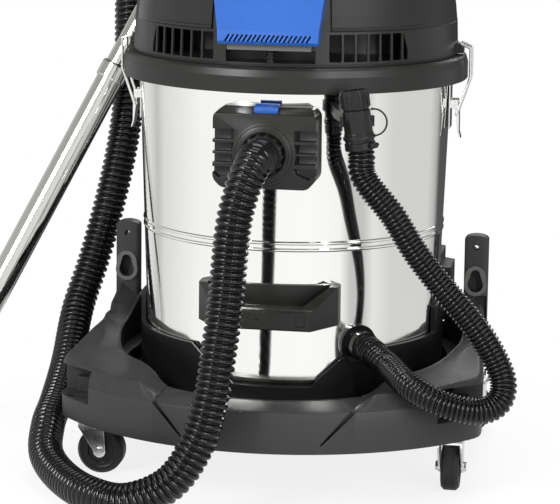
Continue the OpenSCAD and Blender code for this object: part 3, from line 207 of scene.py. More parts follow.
def mix_colour(tree, fac, a, b):
    n = tree.nodes.new("ShaderNodeMix")
    n.data_type = "RGBA"
    tree.links.new(fac, n.inputs[0])
    for key, value in ((6, a), (7, b)):
        if isinstance(value, (tuple, list)):
            n.inputs[key].default_value = (*value, 1.0)
        else:
            tree.links.new(value, n.inputs[key])
    return n.outputs[2]


def dress(finish, *pieces):
    """Puts one finish on pieces, given as objects or as the names of carried-over bodies."""
    for piece in pieces:
        mesh = (nodes[piece] if isinstance(piece, str) else piece).data
        mesh.materials.clear()
        mesh.materials.append(finish)


def hose_plastic():
    """Glossy soft plastic: crests |sin| of the ribs along the hose stay clean, and dirt
    gathers in the grooves between them."""
    m, t, body, _ = material("hose_vinyl")
    along = add(t, "UVMap", uv_map="along").outputs[0]
    ribs = add(t, "SeparateXYZ", {}, {0: along}).outputs["X"]
    place = add(t, "TexCoord").outputs["Object"]
    crest = calc(t, "ABSOLUTE", calc(t, "SINE", calc(t, "MULTIPLY", ribs, math.pi)))
    cloud = noise(t, place, 16.0, 5.0, 0.65)
    dirt = calc(t, "MULTIPLY", spread(t, crest, 0.55, 0.05, 0.0, 0.5), cloud)
    bump = add(t, "Bump", {"Strength": 0.03, "Distance": 0.0001}, {"Height": noise(t, place, 420.0, 2.0)})
    tone = mix_colour(t, dirt, (0.0045, 0.0045, 0.0043), (0.0075, 0.0072, 0.0065))
    t.links.new(tone, body.inputs["Base Color"])
    t.links.new(spread(t, cloud, 0.3, 0.7, 0.10, 0.18), body.inputs["Roughness"])
    t.links.new(bump.outputs[0], body.inputs["Normal"])
    body.inputs["Specular IOR Level"].default_value = 0.25
    body.inputs["Coat Weight"].default_value = 0.18
    body.inputs["Coat Roughness"].default_value = 0.05
    return m


vinyl = hose_plastic()
HOSE_D = 0.048
wand_dir = unit([0.4193, 0.2613, 0.8695])
wand_foot = np.array([-0.540, -0.022, math.sqrt(1 - wand_dir[2] ** 2) * 0.020 + 0.0001])
WAND_TOP, BEND_R, BEND_A = 0.904, 0.070, math.radians(75)
bend_side = np.array([-0.8, 0.6, 0.0])
bend_side = unit(bend_side - (bend_side @ wand_dir) * wand_dir)
wand_top = wand_foot + wand_dir * WAND_TOP
hand_dir = wand_dir * math.cos(BEND_A) + bend_side * math.sin(BEND_A)
hand_at = wand_top + BEND_R * (math.sin(BEND_A) * wand_dir + (1 - math.cos(BEND_A)) * bend_side)
hose_end = hand_at + hand_dir * 0.056

hose_route = np.vstack([
    np.array([[0, -284, 466], [0, -308, 466], [-1, -332, 466], [-10, -352, 440], [-20, -362, 396],
              [-25, -366, 345], [-28, -374, 290], [-34, -386, 230], [-42, -396, 168],
              [-58, -404, 110], [-92, -410, 58], [-150, -404, 29], [-208, -370, 25],
              [-263, -302, 26], [-301, -238, 38], [-313, -182, 62], [-320, -110, 77],
              [-327, -20, 112], [-332, 60, 172], [-317, 98, 240], [-299, 114, 315],
              [-286, 140, 394], [-281, 168, 468], [-285, 199, 542], [-291, 227, 617],
              [-295, 259, 698]]) * MM,
    [hand_at + np.array([-0.127, 0.033, -0.097]), hand_at + np.array([-0.121, 0.069, -0.027]),
     hand_at + np.array([-0.099, 0.089, 0.023]), hose_end + hand_dir * 0.048,
     hose_end + hand_dir * 0.024, hose_end]])
hose_path = smooth_path(hose_route)
main_hose = corrugated_tube(
    "suction_hose", hose_path, 216, HOSE_D / 2, 0.0050, 0.0018, (0.80, 0.55, -0.22),
    (0, -1, 0), -hand_dir)
dress(vinyl, main_hose)
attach(main_hose, "trolley")
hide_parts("main_hose")


# ---------------------------------------------------------------- drain hose
# A thinner ribbed hose from the drain elbow at the drum's foot, hung up by its coupling
# in a clip under the ring, so that the capped end stays above the water.
DRAIN_D = 0.036
DRUM_RIM_R, DRUM_FOOT_R, DRUM_RIM_Z, DRUM_FOOT_Z = 0.220, 0.206, 0.562, 0.142


def drum_r(z):
    return DRUM_FOOT_R + (DRUM_RIM_R - DRUM_FOOT_R) * (z - DRUM_FOOT_Z) / (DRUM_RIM_Z - DRUM_FOOT_Z)


elbow_turn, elbow_z = math.radians(34), 0.198
elbow_dir = unit([0.66, -0.70, -0.27])
elbow_c = np.array([(drum_r(elbow_z) + 0.020) * math.sin(elbow_turn),
                    -(drum_r(elbow_z) + 0.020) * math.cos(elbow_turn), elbow_z])
drain_start = elbow_c + elbow_dir * 0.026
coupling_dir = np.array([-math.sin(math.radians(8)), 0.0, math.cos(math.radians(8))])
coupling_at = np.array([0.126, -0.258, 0.486])
drain_route = np.vstack([
    [drain_start, drain_start + elbow_dir * 0.018, drain_start + elbow_dir * 0.036],
    np.array([[196, -280, 172], [226, -301, 161], [260, -304, 150], [295, -297, 145],
              [318, -286, 156], [322, -276, 182], [305, -268, 218], [276, -264, 258],
              [238, -262, 300], [201, -262, 346], [171, -261, 392]]) * MM,
    [coupling_at - coupling_dir * 0.048, coupling_at - coupling_dir * 0.018, coupling_at]])
drain_path = smooth_path(drain_route)
drain_hose = corrugated_tube(
    "drain_hose_tube", drain_path, 108, DRAIN_D / 2, 0.0036, 0.0016, (0.15, -0.95, 0.30),
    elbow_dir, coupling_dir, sides=36)
dress(vinyl, drain_hose)
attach(drain_hose, "trolley")
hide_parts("drain_hose")


# ---------------------------------------------------------------- trolley tray
# One injection-moulded tray of grey polypropylene with a round well for the drum's foot.
# Its front corners are open pockets for small tools, and a slanting wedge scores the front
# on each side. The casters' plates screw to four solid pads under the deck.
DECK_Z, TRAY_Z, WELL_FLOOR = 141.0, 85.0, 120.0
PLAN_R, FRONT_C, REAR_C = 370.0, 23.0, -110.0
SIDE_X, SIDE_SLOPE = 276.7, 0.07
POCKET_X, POCKET_Y, POCKET_Z, ROOF_Z = 236.0, -172.0, 115.0, 157.0
CASTER_X, CASTER_FRONT, CASTER_REAR = 248.0, -182.0, 130.0


def far_circle(a, centre_y, radius):
    """Distance from the drum's axis, along angle a from the front, to the far side of a
    circle centred at (0, centre_y)."""
    return -centre_y * np.cos(a) + np.sqrt(radius**2 - (centre_y * np.sin(a)) ** 2)


def outline_r(a):
    """Tray outline: the least of the front arc, the rear arc and the tapered side, taken as
    a power mean of order -55, which rounds the corners where two of them meet."""
    side = np.abs(np.sin(a)) - SIDE_SLOPE * np.cos(a)
    edges = np.stack([far_circle(a, FRONT_C, PLAN_R), far_circle(a, REAR_C, PLAN_R),
                      SIDE_X / np.maximum(side, 0.2)])
    return (edges**-55.0).sum(0) ** (-1 / 55)


def well_r(a):
    """Well edge: a circle of 222 mm round the axis, widened at the front by a second one."""
    return np.maximum(222.0, far_circle(a, -60.0, 225.0))


def polar(a, r, z):
    """Points at angle a from the front, distance r and height z, in metres."""
    a, r, z = np.broadcast_arrays(a, r, z)
    return np.stack([r * np.sin(a), -r * np.cos(a), z], -1) * MM


def solid(name, verts, faces):
    """A closed mesh: doubles merged at the poles, then every face turned outwards."""
    obj = mesh_object(name, verts, faces)
    b = bmesh.new()
    b.from_mesh(obj.data)
    bmesh.ops.remove_doubles(b, verts=b.verts, dist=1e-6)
    bmesh.ops.recalc_face_normals(b, faces=b.faces)
    b.to_mesh(obj.data)
    b.free()
    return obj


def prism(outline, low, high, axis="y"):
    """A closed 2-D outline carried straight from low to high along one axis; the outline's
    two columns are the other two axes in order."""
    outline = np.asarray(outline, float)
    n, k = len(outline), "xyz".index(axis)
    rest = [i for i in range(3) if i != k]
    points = np.zeros((2, n, 3))
    points[:, :, rest] = outline
    points[0, :, k], points[1, :, k] = low, high
    faces = lattice(2, n).tolist() + [list(range(n)), list(range(2 * n - 1, n - 1, -1))]
    return solid("cutter", points.reshape(-1, 3) * MM, faces)


def block(x, y, z):
    return prism([(x[0], y[0]), (x[1], y[0]), (x[1], y[1]), (x[0], y[1])], *z, axis="z")


def round_outline(cx, cy, r, n=48, stretch=0.0):
    """A circle, or with a stretch a slot with round ends along the first axis."""
    a = np.linspace(0, 2 * np.pi, n, endpoint=False)
    return np.stack([cx + r * np.cos(a) + np.sign(np.cos(a)) * stretch / 2, cy + r * np.sin(a)], 1)


def shape_with(obj, tools, operation="DIFFERENCE"):
    """Cuts each tool out of the piece, or joins it on, and deletes the tools."""
    for tool in tools:
        m = obj.modifiers.new("shape", "BOOLEAN")
        m.object, m.operation, m.solver = tool, operation, "EXACT"
    made = bpy.data.meshes.new_from_object(obj.evaluated_get(bpy.context.evaluated_depsgraph_get()))
    obj.modifiers.clear()
    obj.data = made
    for tool in tools:
        bpy.data.objects.remove(tool)
    return obj


def mirrored(obj):
    """Adds the piece's own mirror image in x, with its faces turned to point out again."""
    b = bmesh.new()
    b.from_mesh(obj.data)
    both = bmesh.ops.duplicate(b, geom=b.verts[:] + b.edges[:] + b.faces[:])["geom"]
    for v in (g for g in both if isinstance(g, bmesh.types.BMVert)):
        v.co.x = -v.co.x
    bmesh.ops.reverse_faces(b, faces=[g for g in both if isinstance(g, bmesh.types.BMFace)])
    b.to_mesh(obj.data)
    b.free()
    return obj


def crisp(obj, degrees=32):
    """Smooth shading with sharp edges where two faces meet at more than the angle."""
    obj.data.polygons.foreach_set("use_smooth", [True] * len(obj.data.polygons))
    obj.data.set_sharp_from_angle(angle=math.radians(degrees))
    return obj


def tray_shell():
    """Rows of the section, carried round the axis: the wall's outside, the deck, the well's
    wall and floor, and back along the underside. The wall is 4 mm, and solid behind the
    front wedges and round the pockets."""
    a = np.linspace(0, 2 * np.pi, 900, endpoint=False)
    turn = np.degrees(np.abs((a + np.pi) % (2 * np.pi) - np.pi))
    out, well = outline_r(a), well_r(a)
    wall = np.where((turn > 12) & (turn < 26), 22.0, 4.0)
    under = np.where((turn > 35) & (turn < 63), 90.0, DECK_Z - 4)
    rows = [(out - wall, TRAY_Z), (out - 1.2, TRAY_Z), (out - 0.3, TRAY_Z + 0.4), (out, TRAY_Z + 1.2),
            (out, DECK_Z - 2.0), (out - 0.6, DECK_Z - 0.6), (out - 2.0, DECK_Z), (well + 2.4, DECK_Z),
            (well + 1.6, DECK_Z + 0.9), (well + 0.6, DECK_Z + 0.8), (well, DECK_Z - 0.6),
            (well, WELL_FLOOR + 3), (well - 3, WELL_FLOOR), (well * 0, WELL_FLOOR),
            (well * 0, WELL_FLOOR - 4), (well + 4, WELL_FLOOR - 4), (well + 4, under), (out - wall, under)]
    points = np.stack([polar(a, r, z) for r, z in rows])
    return solid("trolley_tray", points.reshape(-1, 3), lattice(len(rows), len(a), close_rows=True))


def corner_cutter(low, high):
    """The pocket's space, without the two stepped blocks in its back inner corner."""
    space = prism([(POCKET_X, POCKET_Y), (POCKET_X, -340), (340, -340), (340, POCKET_Y)],
                  low, high, axis="z")
    if low < DECK_Z - 10:
        x, y = POCKET_X, POCKET_Y
        shape_with(space, [block((x - 2, x + 14), (y - 28, y + 2), (low - 1, low + 26)),
                           block((x + 10, x + 34), (y - 15, y + 2), (low - 1, low + 19))])
    return space


def caster_pad(cx, cy):
    """A disc of 31 mm under the deck, drawn in where it would pass the tray's outline."""
    disc = round_outline(cx, cy, 31, 60)
    a = np.arctan2(disc[:, 0], -disc[:, 1])
    r = np.minimum(np.hypot(*disc.T), outline_r(a) - 1)
    return np.stack([r * np.sin(a), -r * np.cos(a)], 1)


def node_group(name, inputs, outputs):
    g = bpy.data.node_groups.new(name, "ShaderNodeTree")
    for label, kind, value in inputs:
        socket = g.interface.new_socket(name=label, in_out="INPUT", socket_type=kind)
        socket.default_value = value
    for label, kind in outputs:
        g.interface.new_socket(name=label, in_out="OUTPUT", socket_type=kind)
    return g, g.nodes.new("NodeGroupInput"), g.nodes.new("NodeGroupOutput")


FLOAT, VECTOR = "NodeSocketFloat", "NodeSocketVector"


def build_grain():
    """Cells plus fine noise as a height, and a slow cloud for the colour."""
    g, given, out = node_group("moulding_grain", [("Scale", FLOAT, 900.0), ("Cloud Scale", FLOAT, 9.0)],
                               [("Height", FLOAT), ("Cloud", FLOAT)])
    place, scale = add(g, "TexCoord").outputs["Object"], given.outputs["Scale"]
    cells = add(g, "TexVoronoi", {"Randomness": 1.0}, {"Vector": place, "Scale": scale}).outputs["Distance"]
    g.links.new(calc(g, "ADD", cells, noise(g, place, scale, 2.0)), out.inputs["Height"])
    g.links.new(noise(g, place, given.outputs["Cloud Scale"], 4.0, 0.6), out.inputs["Cloud"])
    return g


def build_edge_wear():
    """A normal rounded over the edges, and where it leaves the true one, a ragged mask."""
    g, given, out = node_group("rubbed_edge", [("Radius", FLOAT, 0.0012), ("Break Up", FLOAT, 60.0)],
                               [("Mask", FLOAT), ("Normal", VECTOR)])
    soft = add(g, "Bevel", {}, {"Radius": given.outputs["Radius"]}, samples=6).outputs[0]
    dot = calc(g, "DOT_PRODUCT", soft, add(g, "NewGeometry").outputs["Normal"], kind="VectorMath")
    patch = noise(g, add(g, "TexCoord").outputs["Object"], given.outputs["Break Up"], 5.0, 0.7)
    mask = calc(g, "MULTIPLY", spread(g, dot, 0.985, 0.82), spread(g, patch, 0.35, 0.65))
    g.links.new(mask, out.inputs["Mask"])
    g.links.new(soft, out.inputs["Normal"])
    return g


def build_dust():
    """Specks on whatever faces up."""
    g, given, out = node_group("settled_dust", [("Scale", FLOAT, 40.0), ("Amount", FLOAT, 0.3)],
                               [("Mask", FLOAT)])
    up = add(g, "SeparateXYZ", {}, {0: add(g, "NewGeometry").outputs["Normal"]}).outputs["Z"]
    specks = noise(g, add(g, "TexCoord").outputs["Object"], given.outputs["Scale"], 6.0, 0.75)
    mask = calc(g, "MULTIPLY", spread(g, up, 0.35, 1.0), spread(g, specks, 0.42, 0.70))
    g.links.new(calc(g, "MULTIPLY", mask, given.outputs["Amount"]), out.inputs["Mask"])
    return g


GRAIN, EDGE, DUST = build_grain(), build_edge_wear(), build_dust()


def grouped(tree, group, **values):
    n = tree.nodes.new("ShaderNodeGroup")
    n.node_tree = group
    for key, value in values.items():
        n.inputs[key.replace("_", " ")].default_value = value
    return n


def moulded_plastic(name, colour, roughness, grain=1100.0, relief=0.25, edge=0.0011, wear=1.35,
                    dust=0.25, coat=0.0, cloud=0.10, depth=0.00012):
    """Injection-moulded plastic: a cloudy base colour, lighter rubbed edges, dust on what
    faces up, and a spark-eroded grain as bump over a rounded-edge normal."""
    m, t, body, _ = material(name)
    texture = grouped(t, GRAIN, Scale=grain, Cloud_Scale=7.0)
    rim = grouped(t, EDGE, Radius=edge, Break_Up=70.0)
    film = grouped(t, DUST, Scale=55.0, Amount=dust)
    c = np.array(colour)
    tone = mix_colour(t, texture.outputs["Cloud"], tuple(c * (1 - cloud)),
                      tuple(np.minimum(c * (1 + cloud), 1)))
    tone = mix_colour(t, rim.outputs["Mask"], tone, tuple(np.minimum(c * wear + 0.01, 1)))
    tone = mix_colour(t, film.outputs["Mask"], tone, (0.42, 0.41, 0.39))
    rough = spread(t, texture.outputs["Cloud"], 0.3, 0.7, roughness - 0.05, roughness + 0.07)
    bump = add(t, "Bump", {"Strength": relief, "Distance": depth},
               {"Height": texture.outputs["Height"], "Normal": rim.outputs["Normal"]})
    t.links.new(tone, body.inputs["Base Color"])
    t.links.new(rough, body.inputs["Roughness"])
    t.links.new(bump.outputs[0], body.inputs["Normal"])
    body.inputs["Specular IOR Level"].default_value = 0.30
    body.inputs["Coat Weight"].default_value = coat
    body.inputs["Coat Roughness"].default_value = 0.12
    return m


grey_grain = moulded_plastic("trolley_grey", (0.026, 0.027, 0.026), 0.44, grain=1500, relief=0.3, dust=0.05,
                             cloud=0.04)
wedge = [(90, 97), (92.5, 96.2), (138.5, 143), (129.5, 143)]
tray_piece = tray_shell()
for s in (1, -1):
    pads = [prism(caster_pad(s * CASTER_X, y), TRAY_Z, DECK_Z - 2, axis="z")
            for y in (CASTER_FRONT, CASTER_REAR)]
    shape_with(tray_piece, pads, "UNION")
    pocket = corner_cutter(POCKET_Z, 200)
    slots = [prism([(s * x, z) for x, z in wedge], -370, -316, axis="y"),
             prism(round_outline(s * 262, POCKET_Y - 44, 6, 40, 16), 95, 118, axis="z")]
    if s < 0:
        pocket.data.transform(Matrix.Scale(-1, 4, (1, 0, 0)))
        pocket.data.flip_normals()
    shape_with(tray_piece, [pocket] + slots)
crisp(tray_piece)
dress(grey_grain, tray_piece)
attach(tray_piece, "trolley")
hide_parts("tray")


# ---------------------------------------------------------------- side legs
# Each side of the tray carries a moulded leg: a shoulder at the front, a lobe that swells
# over the pocket, and a slope that climbs to an upright with a keyhole for the push bar.
# It is one flowing surface round the drum, and its inner edge leaves a gap to the collar.
LEG_START, LEG_CREST, LEG_END = (29.4, 22.2), (37.0, 25.9), 138.0
INNER_EDGE = np.array([[22, 276], [29.4, 271], [37, 257], [42, 255], [47, 258], [52, 260], [57, 257],
                       [66, 249], [76, 244], [90, 243], [104, 245], [138, 245]])
RIM = np.array([[22, 2], [29, 3], [37, 9], [42, 16], [47, 19], [57, 23], [66, 24], [76, 27], [90, 29],
                [97, 35], [102.5, 49], [106, 58], [112, 49], [118, 34], [125, 19], [132, 9], [138, 1]])
LOBE = np.array([[22, 19], [38, 19], [43, 20], [50, 22], [56, 25], [66, 31], [75, 37], [82, 39], [87, 41],
                 [91, 55], [97.5, 68], [102.5, 83], [106, 90], [112, 74], [118, 49], [125, 29],
                 [132, 15], [138, 2]])
SLOPE_END = np.array([[22, 0.80], [44, 0.85], [54, 0.45], [68, 0.40], [79, 0.60], [90, 0.95], [138, 0.95]])
UP_X, UP_FRONT, UP_W, UP_DEPTH, UP_TOP = 257.0, 60.0, 34.0, 24.0, 309.0
KEY_Z, BOLT_Z = UP_TOP - 72, UP_TOP - 18


def along_leg(a, stations, soften=2.2):
    """Straight lines between the stations (angle, value), averaged over the angles near a,
    which rounds each corner."""
    near = np.linspace(-soften, soften, 9)
    return np.mean([np.interp(a + d, stations[:, 0], stations[:, 1]) for d in near], axis=0)


def ease(k):
    k = np.clip(k, 0, 1)
    return k * k * (3 - 2 * k)


def leg_surface(degrees, t):
    """Distance and height of the leg's top at an angle and a share t of the way from its
    inner edge to the outline. The height climbs from the rim to the lobe until the share
    SLOPE_END, then stays level, then drops over the outer edge: as a quarter round of 9 mm
    along the side, and as a flat batter 17 mm wide on the shoulder. Between LEG_START and
    LEG_CREST, both slanted, it is a flat bevel down to the deck."""
    a = np.radians(degrees)
    inner = along_leg(degrees, INNER_EDGE)
    width = outline_r(a) - 0.5 - inner
    k = t / along_leg(degrees, SLOPE_END)
    climb = 0.5 * (k + 1 - np.sqrt((k - 1) ** 2 + 0.006))
    crown = along_leg(degrees, RIM) * (1 - climb) + along_leg(degrees, LOBE) * climb
    nose = ease((60 - degrees) / 14)
    edge = 9 + 8 * nose
    beyond = np.clip(1 - (1 - t) * width / edge, 0, 1)
    drop = (1 - np.sqrt(1 - beyond**2)) * (1 - nose) + beyond * nose
    start = LEG_START[0] + (LEG_START[1] - LEG_START[0]) * t
    crest = LEG_CREST[0] + (LEG_CREST[1] - LEG_CREST[0]) * t
    bevel = np.clip((degrees - start) / (crest - start), 0, 1)
    foot = 0.5 + 4.5 * t * (1 - beyond)
    lip = 1.2 * np.exp(-((t * width - 1.2) / 1.0) ** 2)
    top = crown * (1 - drop * (0.45 + 0.52 * nose)) + lip
    return inner + t * width, DECK_Z + np.maximum(0.4, foot + (top - foot) * bevel)


def leg_loft():
    share = np.concatenate([[0, 0.012, 0.03, 0.06], np.linspace(0.1, 0.86, 30), np.linspace(0.88, 1, 16)])
    row = np.linspace(0, 1, 220)
    start = LEG_START[0] + (LEG_START[1] - LEG_START[0]) * share
    crest = LEG_CREST[0] + (LEG_CREST[1] - LEG_CREST[0]) * share
    knee = 0.05
    degrees = np.where(row[:, None] < knee, start + (crest - start) * row[:, None] / knee,
                       crest + (LEG_END - crest) * (row[:, None] - knee) / (1 - knee))
    r, z = leg_surface(degrees, share[None, :])
    top = polar(np.radians(degrees), r, z)
    foot = top[:, [-1, 0]] * [1, 1, 0] + [0, 0, (DECK_Z - 0.3) * MM]
    points = np.concatenate([top, foot], axis=1)
    m = points.shape[1]
    count = len(row) * m
    faces = lattice(len(row), m).tolist() + [list(range(m)), list(range(count - 1, count - m - 1, -1))]
    return solid("side_leg", points.reshape(-1, 3), faces)


def upright_post():
    """A post whose front is an arc of 110 mm in plan and whose top is an arc of 40 mm from
    the front; front and back share their stations across, so the top closes in strips."""
    across = np.linspace(-1, 1, 25)
    x = UP_X + UP_W / 2 * across
    bulge = 110 - np.sqrt(110**2 - (x - UP_X) ** 2) + 3.0 * np.abs(across) ** 14
    top = UP_TOP - 40 + np.sqrt(40**2 - (x - UP_X) ** 2) - 2.0 * np.abs(across) ** 10
    height = np.linspace(0, 1, 30)[:, None]
    front = np.stack(np.broadcast_arrays(x, UP_FRONT + bulge, DECK_Z + 20 + (top - DECK_Z - 20) * height), -1)
    back = np.stack(np.broadcast_arrays(x, UP_FRONT + UP_DEPTH - bulge * 0.6,
                                        DECK_Z + 20 + (top - DECK_Z - 20) * height), -1)
    points = np.concatenate([front, back[:, ::-1]], axis=1)
    m, n = points.shape[1], len(x)
    faces = lattice(len(height), m).tolist()
    for base in (0, (len(height) - 1) * m):
        faces += [[base + k, base + k + 1, base + m - 2 - k, base + m - 1 - k] for k in range(n - 1)]
    return solid("post", points.reshape(-1, 3) * MM, faces)


def pear_outline(cx, cz, n=24):
    """Keyhole: a circle of 11 mm and one of 7 mm 15 mm above it, joined by straight sides."""
    low, high = np.radians(np.linspace(195, 345, n)), np.radians(np.linspace(10, 170, n))
    return np.vstack([
        np.stack([cx + 11 * np.cos(low), cz + 11 * np.sin(low)], 1), [[cx + 10.6, cz + 3]],
        np.stack([cx + 7 * np.cos(high), cz + 15 + 7 * np.sin(high)], 1), [[cx - 10.6, cz + 3]]])


def side_leg():
    leg = shape_with(leg_loft(), [upright_post()], "UNION")
    return shape_with(leg, [
        corner_cutter(DECK_Z - 5, ROOF_Z),
        prism(np.vstack([round_outline(262, 189, 6.8, 40)[10:31], [[300, 182.2], [300, 195.8]]]), -12, 26),
        prism(pear_outline(UP_X, KEY_Z), UP_FRONT - 6, UP_FRONT + 18),
        prism(round_outline(UP_X, BOLT_Z, 4, 32), UP_FRONT - 10, UP_FRONT + 40)])


legs = side_leg()
mirrored(legs)
legs.name = "side_leg_pair"
shape_with(legs, [block((256.5, 273.5), (UP_FRONT - 12, UP_FRONT + 12), (187, 221))])
crisp(legs, 28)
dress(grey_grain, legs)
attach(legs, "trolley")
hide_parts("side_legs")


# ---------------------------------------------------------------- inlet plate
# A black moulding bolted over the drum's inlet, with a sloping roof and open louvred ends.
# Four pockets are cored out of each end between short ribs, and a stepped boss round the
# bore takes the hose's swivel cuff.
PLATE_HW, PLATE_LOW, PLATE_TOP, PLATE_Y, ROOF_Y = 68.5, 420.0, 525.0, -262.0, -234.0
BOSS = [(28.4, -269.0), (31.0, -269.6), (33.4, -269.0), (33.8, -266.4), (37.6, -265.8), (38.4, -263.6),
        (42.0, -263.2), (42.6, -262.4), (42.6, -252.0), (28.4, -252.0)]
END_POCKETS = [(484.0, 498.0), (468.0, 480.0), (453.5, 465.0)]


def rounded(corners, radii, n=7):
    """A closed outline whose corners are quadratic curves starting radius before each
    corner and ending radius after it."""
    c = np.asarray(corners, float)
    before, after = unit(np.roll(c, 1, 0) - c), unit(np.roll(c, -1, 0) - c)
    r, t = np.asarray(radii, float)[:, None, None], np.linspace(0, 1, n)[None, :, None]
    start, end, c = c[:, None] + before[:, None] * r, c[:, None] + after[:, None] * r, c[:, None]
    return ((1 - t) ** 2 * start + 2 * t * (1 - t) * c + t**2 * end).reshape(-1, 2)


def turned(name, profile, origin, along, sides=96):
    """A closed (radius, height) profile swept round the line through origin along a
    direction; two points at radius 0 close into poles."""
    axis = unit(along)
    hint = np.array([0.0, 0.0, 1.0]) if abs(axis[2]) < 0.9 else np.array([1.0, 0.0, 0.0])
    u = unit(hint - (hint @ axis) * axis)
    v = np.cross(axis, u)
    a = np.linspace(0, 2 * np.pi, sides, endpoint=False)[None, :, None]
    r, h = (np.asarray(profile, float)[:, k, None, None] for k in (0, 1))
    points = np.asarray(origin, float) + r * (np.cos(a) * u + np.sin(a) * v) + h * axis
    return solid(name, points.reshape(-1, 3) * MM, lattice(len(profile), sides, close_rows=True))


def drum_plug(low, high, gap=0.4):
    wide = [drum_r(z * MM) / MM + gap for z in (low, high)]
    return turned("cutter", [(0, low), (wide[0], low), (wide[1], high), (0, high)], (0, 0, 0), (0, 0, 1), 360)


def soften(obj, width, degrees=30, segments=2):
    """Small rounds on every edge sharper than the angle, applied to the mesh."""
    m = obj.modifiers.new("round", "BEVEL")
    m.width, m.segments, m.limit_method, m.angle_limit = width * MM, segments, "ANGLE", math.radians(degrees)
    m.harden_normals, m.use_clamp_overlap = False, True
    made = bpy.data.meshes.new_from_object(obj.evaluated_get(bpy.context.evaluated_depsgraph_get()))
    obj.modifiers.clear()
    obj.data = made
    return obj


outline = rounded([(-PLATE_HW + 11, PLATE_LOW), (PLATE_HW - 11, PLATE_LOW), (PLATE_HW, PLATE_LOW + 12),
                   (PLATE_HW, PLATE_TOP - 9), (PLATE_HW - 8, PLATE_TOP), (-PLATE_HW + 8, PLATE_TOP),
                   (-PLATE_HW, PLATE_TOP - 9), (-PLATE_HW, PLATE_LOW + 12)], [6, 6, 6, 5, 5, 5, 5, 6])
plate = prism(outline, PLATE_Y, -200)
cuts = [prism([(-275, 516.5), (-263, 517.6), (ROOF_Y, PLATE_TOP - 0.4), (ROOF_Y, 560), (-275, 560)],
              -90, 90, axis="x"),
        block((-16.4, 16.4), (-257, -236.6), (509, 540)), drum_plug(400, 560)]
for s in (1, -1):
    cuts += [prism([(s * (PLATE_HW - 29), PLATE_Y - 1), (s * (PLATE_HW - 23), PLATE_Y + 12),
                    (s * (PLATE_HW + 3), PLATE_Y + 15), (s * (PLATE_HW + 3), PLATE_Y - 1)], low, high, axis="z")
             for low, high in END_POCKETS]
    cuts.append(prism([(s * 40, 448), (s * 72, 448), (s * 72, 443), (s * 60, 433), (s * 43, 440)],
                      PLATE_Y - 1, PLATE_Y + 13))
shape_with(plate, cuts)
shape_with(plate, [turned("cutter", BOSS, (0, 0, 466), (0, 1, 0))], "UNION")
cuff_seat = [(0, -280), (28.2, -280), (28.2, -257), (20, -257), (20, -190), (0, -190)]
shape_with(plate, [turned("cutter", cuff_seat, (0, 0, 466), (0, 1, 0))])
plate.name = "inlet_plate_moulding"
soften(plate, 1.0)
crisp(plate, 30)
charcoal = moulded_plastic("charcoal", (0.0125, 0.0136, 0.0118), 0.33, grain=1500, relief=0.2, dust=0.06)
dress(charcoal, plate)
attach(plate, "trolley")
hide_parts("inlet_plate")


# ---------------------------------------------------------------- filter cloth
# A bag of needled felt hung inside the drum: a flat brim clamped under the motor plate, a
# wall stretched over the basket's ribs and a sewn-in bottom.
FILTER_TOP, FILTER_R, FILTER_H, FILTER_N = 568.3, 152.0, 154.0, 720


def filter_bag():
    """Profile rows swept round the axis: brim, wall, heel, bottom, then back inside 1.6 mm
    further in. The wall sinks by up to 2 mm between the basket's 12 ribs."""
    zt, r0, h = FILTER_TOP, FILTER_R, FILTER_H
    top = [(211.6, zt - 1.6), (r0 + 4, zt - 1.6), (r0 + 0.4, zt - 5)]
    wall = [(r0 - 6 * k, zt - 5 - (h - 19) * k) for k in np.linspace(0.06, 1, 22)]
    heel = [(r0 - 9, zt - h + 8), (r0 - 14, zt - h + 3), (r0 - 21, zt - h), (r0 * 0.5, zt - h), (0, zt - h)]
    back = [(0, zt - h + 1.6), (r0 * 0.5, zt - h + 1.6), (r0 - 22, zt - h + 1.6), (r0 - 15.4, zt - h + 4.6),
            (r0 - 10.6, zt - h + 9)]
    inner = [(r - 1.6, z) for r, z in wall[::-1]]
    rim = [(r0 - 1.4, zt - 4), (r0 + 3, zt), (211.6, zt)]
    rows = np.array(top + wall + heel + back + inner + rim)
    a = np.linspace(0, 2 * np.pi, FILTER_N, endpoint=False)
    middle = np.clip((zt - 8 - rows[:, 1]) / 30, 0, 1) * np.clip((rows[:, 1] - (zt - h + 12)) / 25, 0, 1)
    sink = 1.6 * middle[:, None] * np.abs(np.sin(6 * a))[None, :] ** 1.5
    points = polar(a[None, :], rows[:, :1] - sink, rows[:, 1:])
    return solid("filter_bag", points.reshape(-1, 3), lattice(len(rows), FILTER_N, close_rows=True))


filter_bag_piece = filter_bag()
dress(moulded_plastic("filter_felt", (0.60, 0.58, 0.53), 0.95, grain=1600, relief=1.0, dust=0.0),
      filter_bag_piece)
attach(filter_bag_piece, "trolley")
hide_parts("filter_cloth")


# ---------------------------------------------------------------- socket bezels
# Two grey inserts pressed into the uprights' sockets, which line the hole that the push
# bar's foot drops into. The same grey plastic makes the bar under the head's hood.
pocket_grey = moulded_plastic("pocket_grey", (0.10, 0.10, 0.095), 0.45, grain=900)
dress(pocket_grey, "socket_bezels")


# ---------------------------------------------------------------- collar and rear block
# A satin collar round the drum's foot and a box moulding behind it with two round tool
# pockets. Both drop onto the tray and hold the drum upright.
satin = moulded_plastic("satin_black", (0.0062, 0.0065, 0.0060), 0.30, grain=1500, relief=0.15, dust=0.06)
dress(satin, "foot_collar")
dress(charcoal, "rear_block")


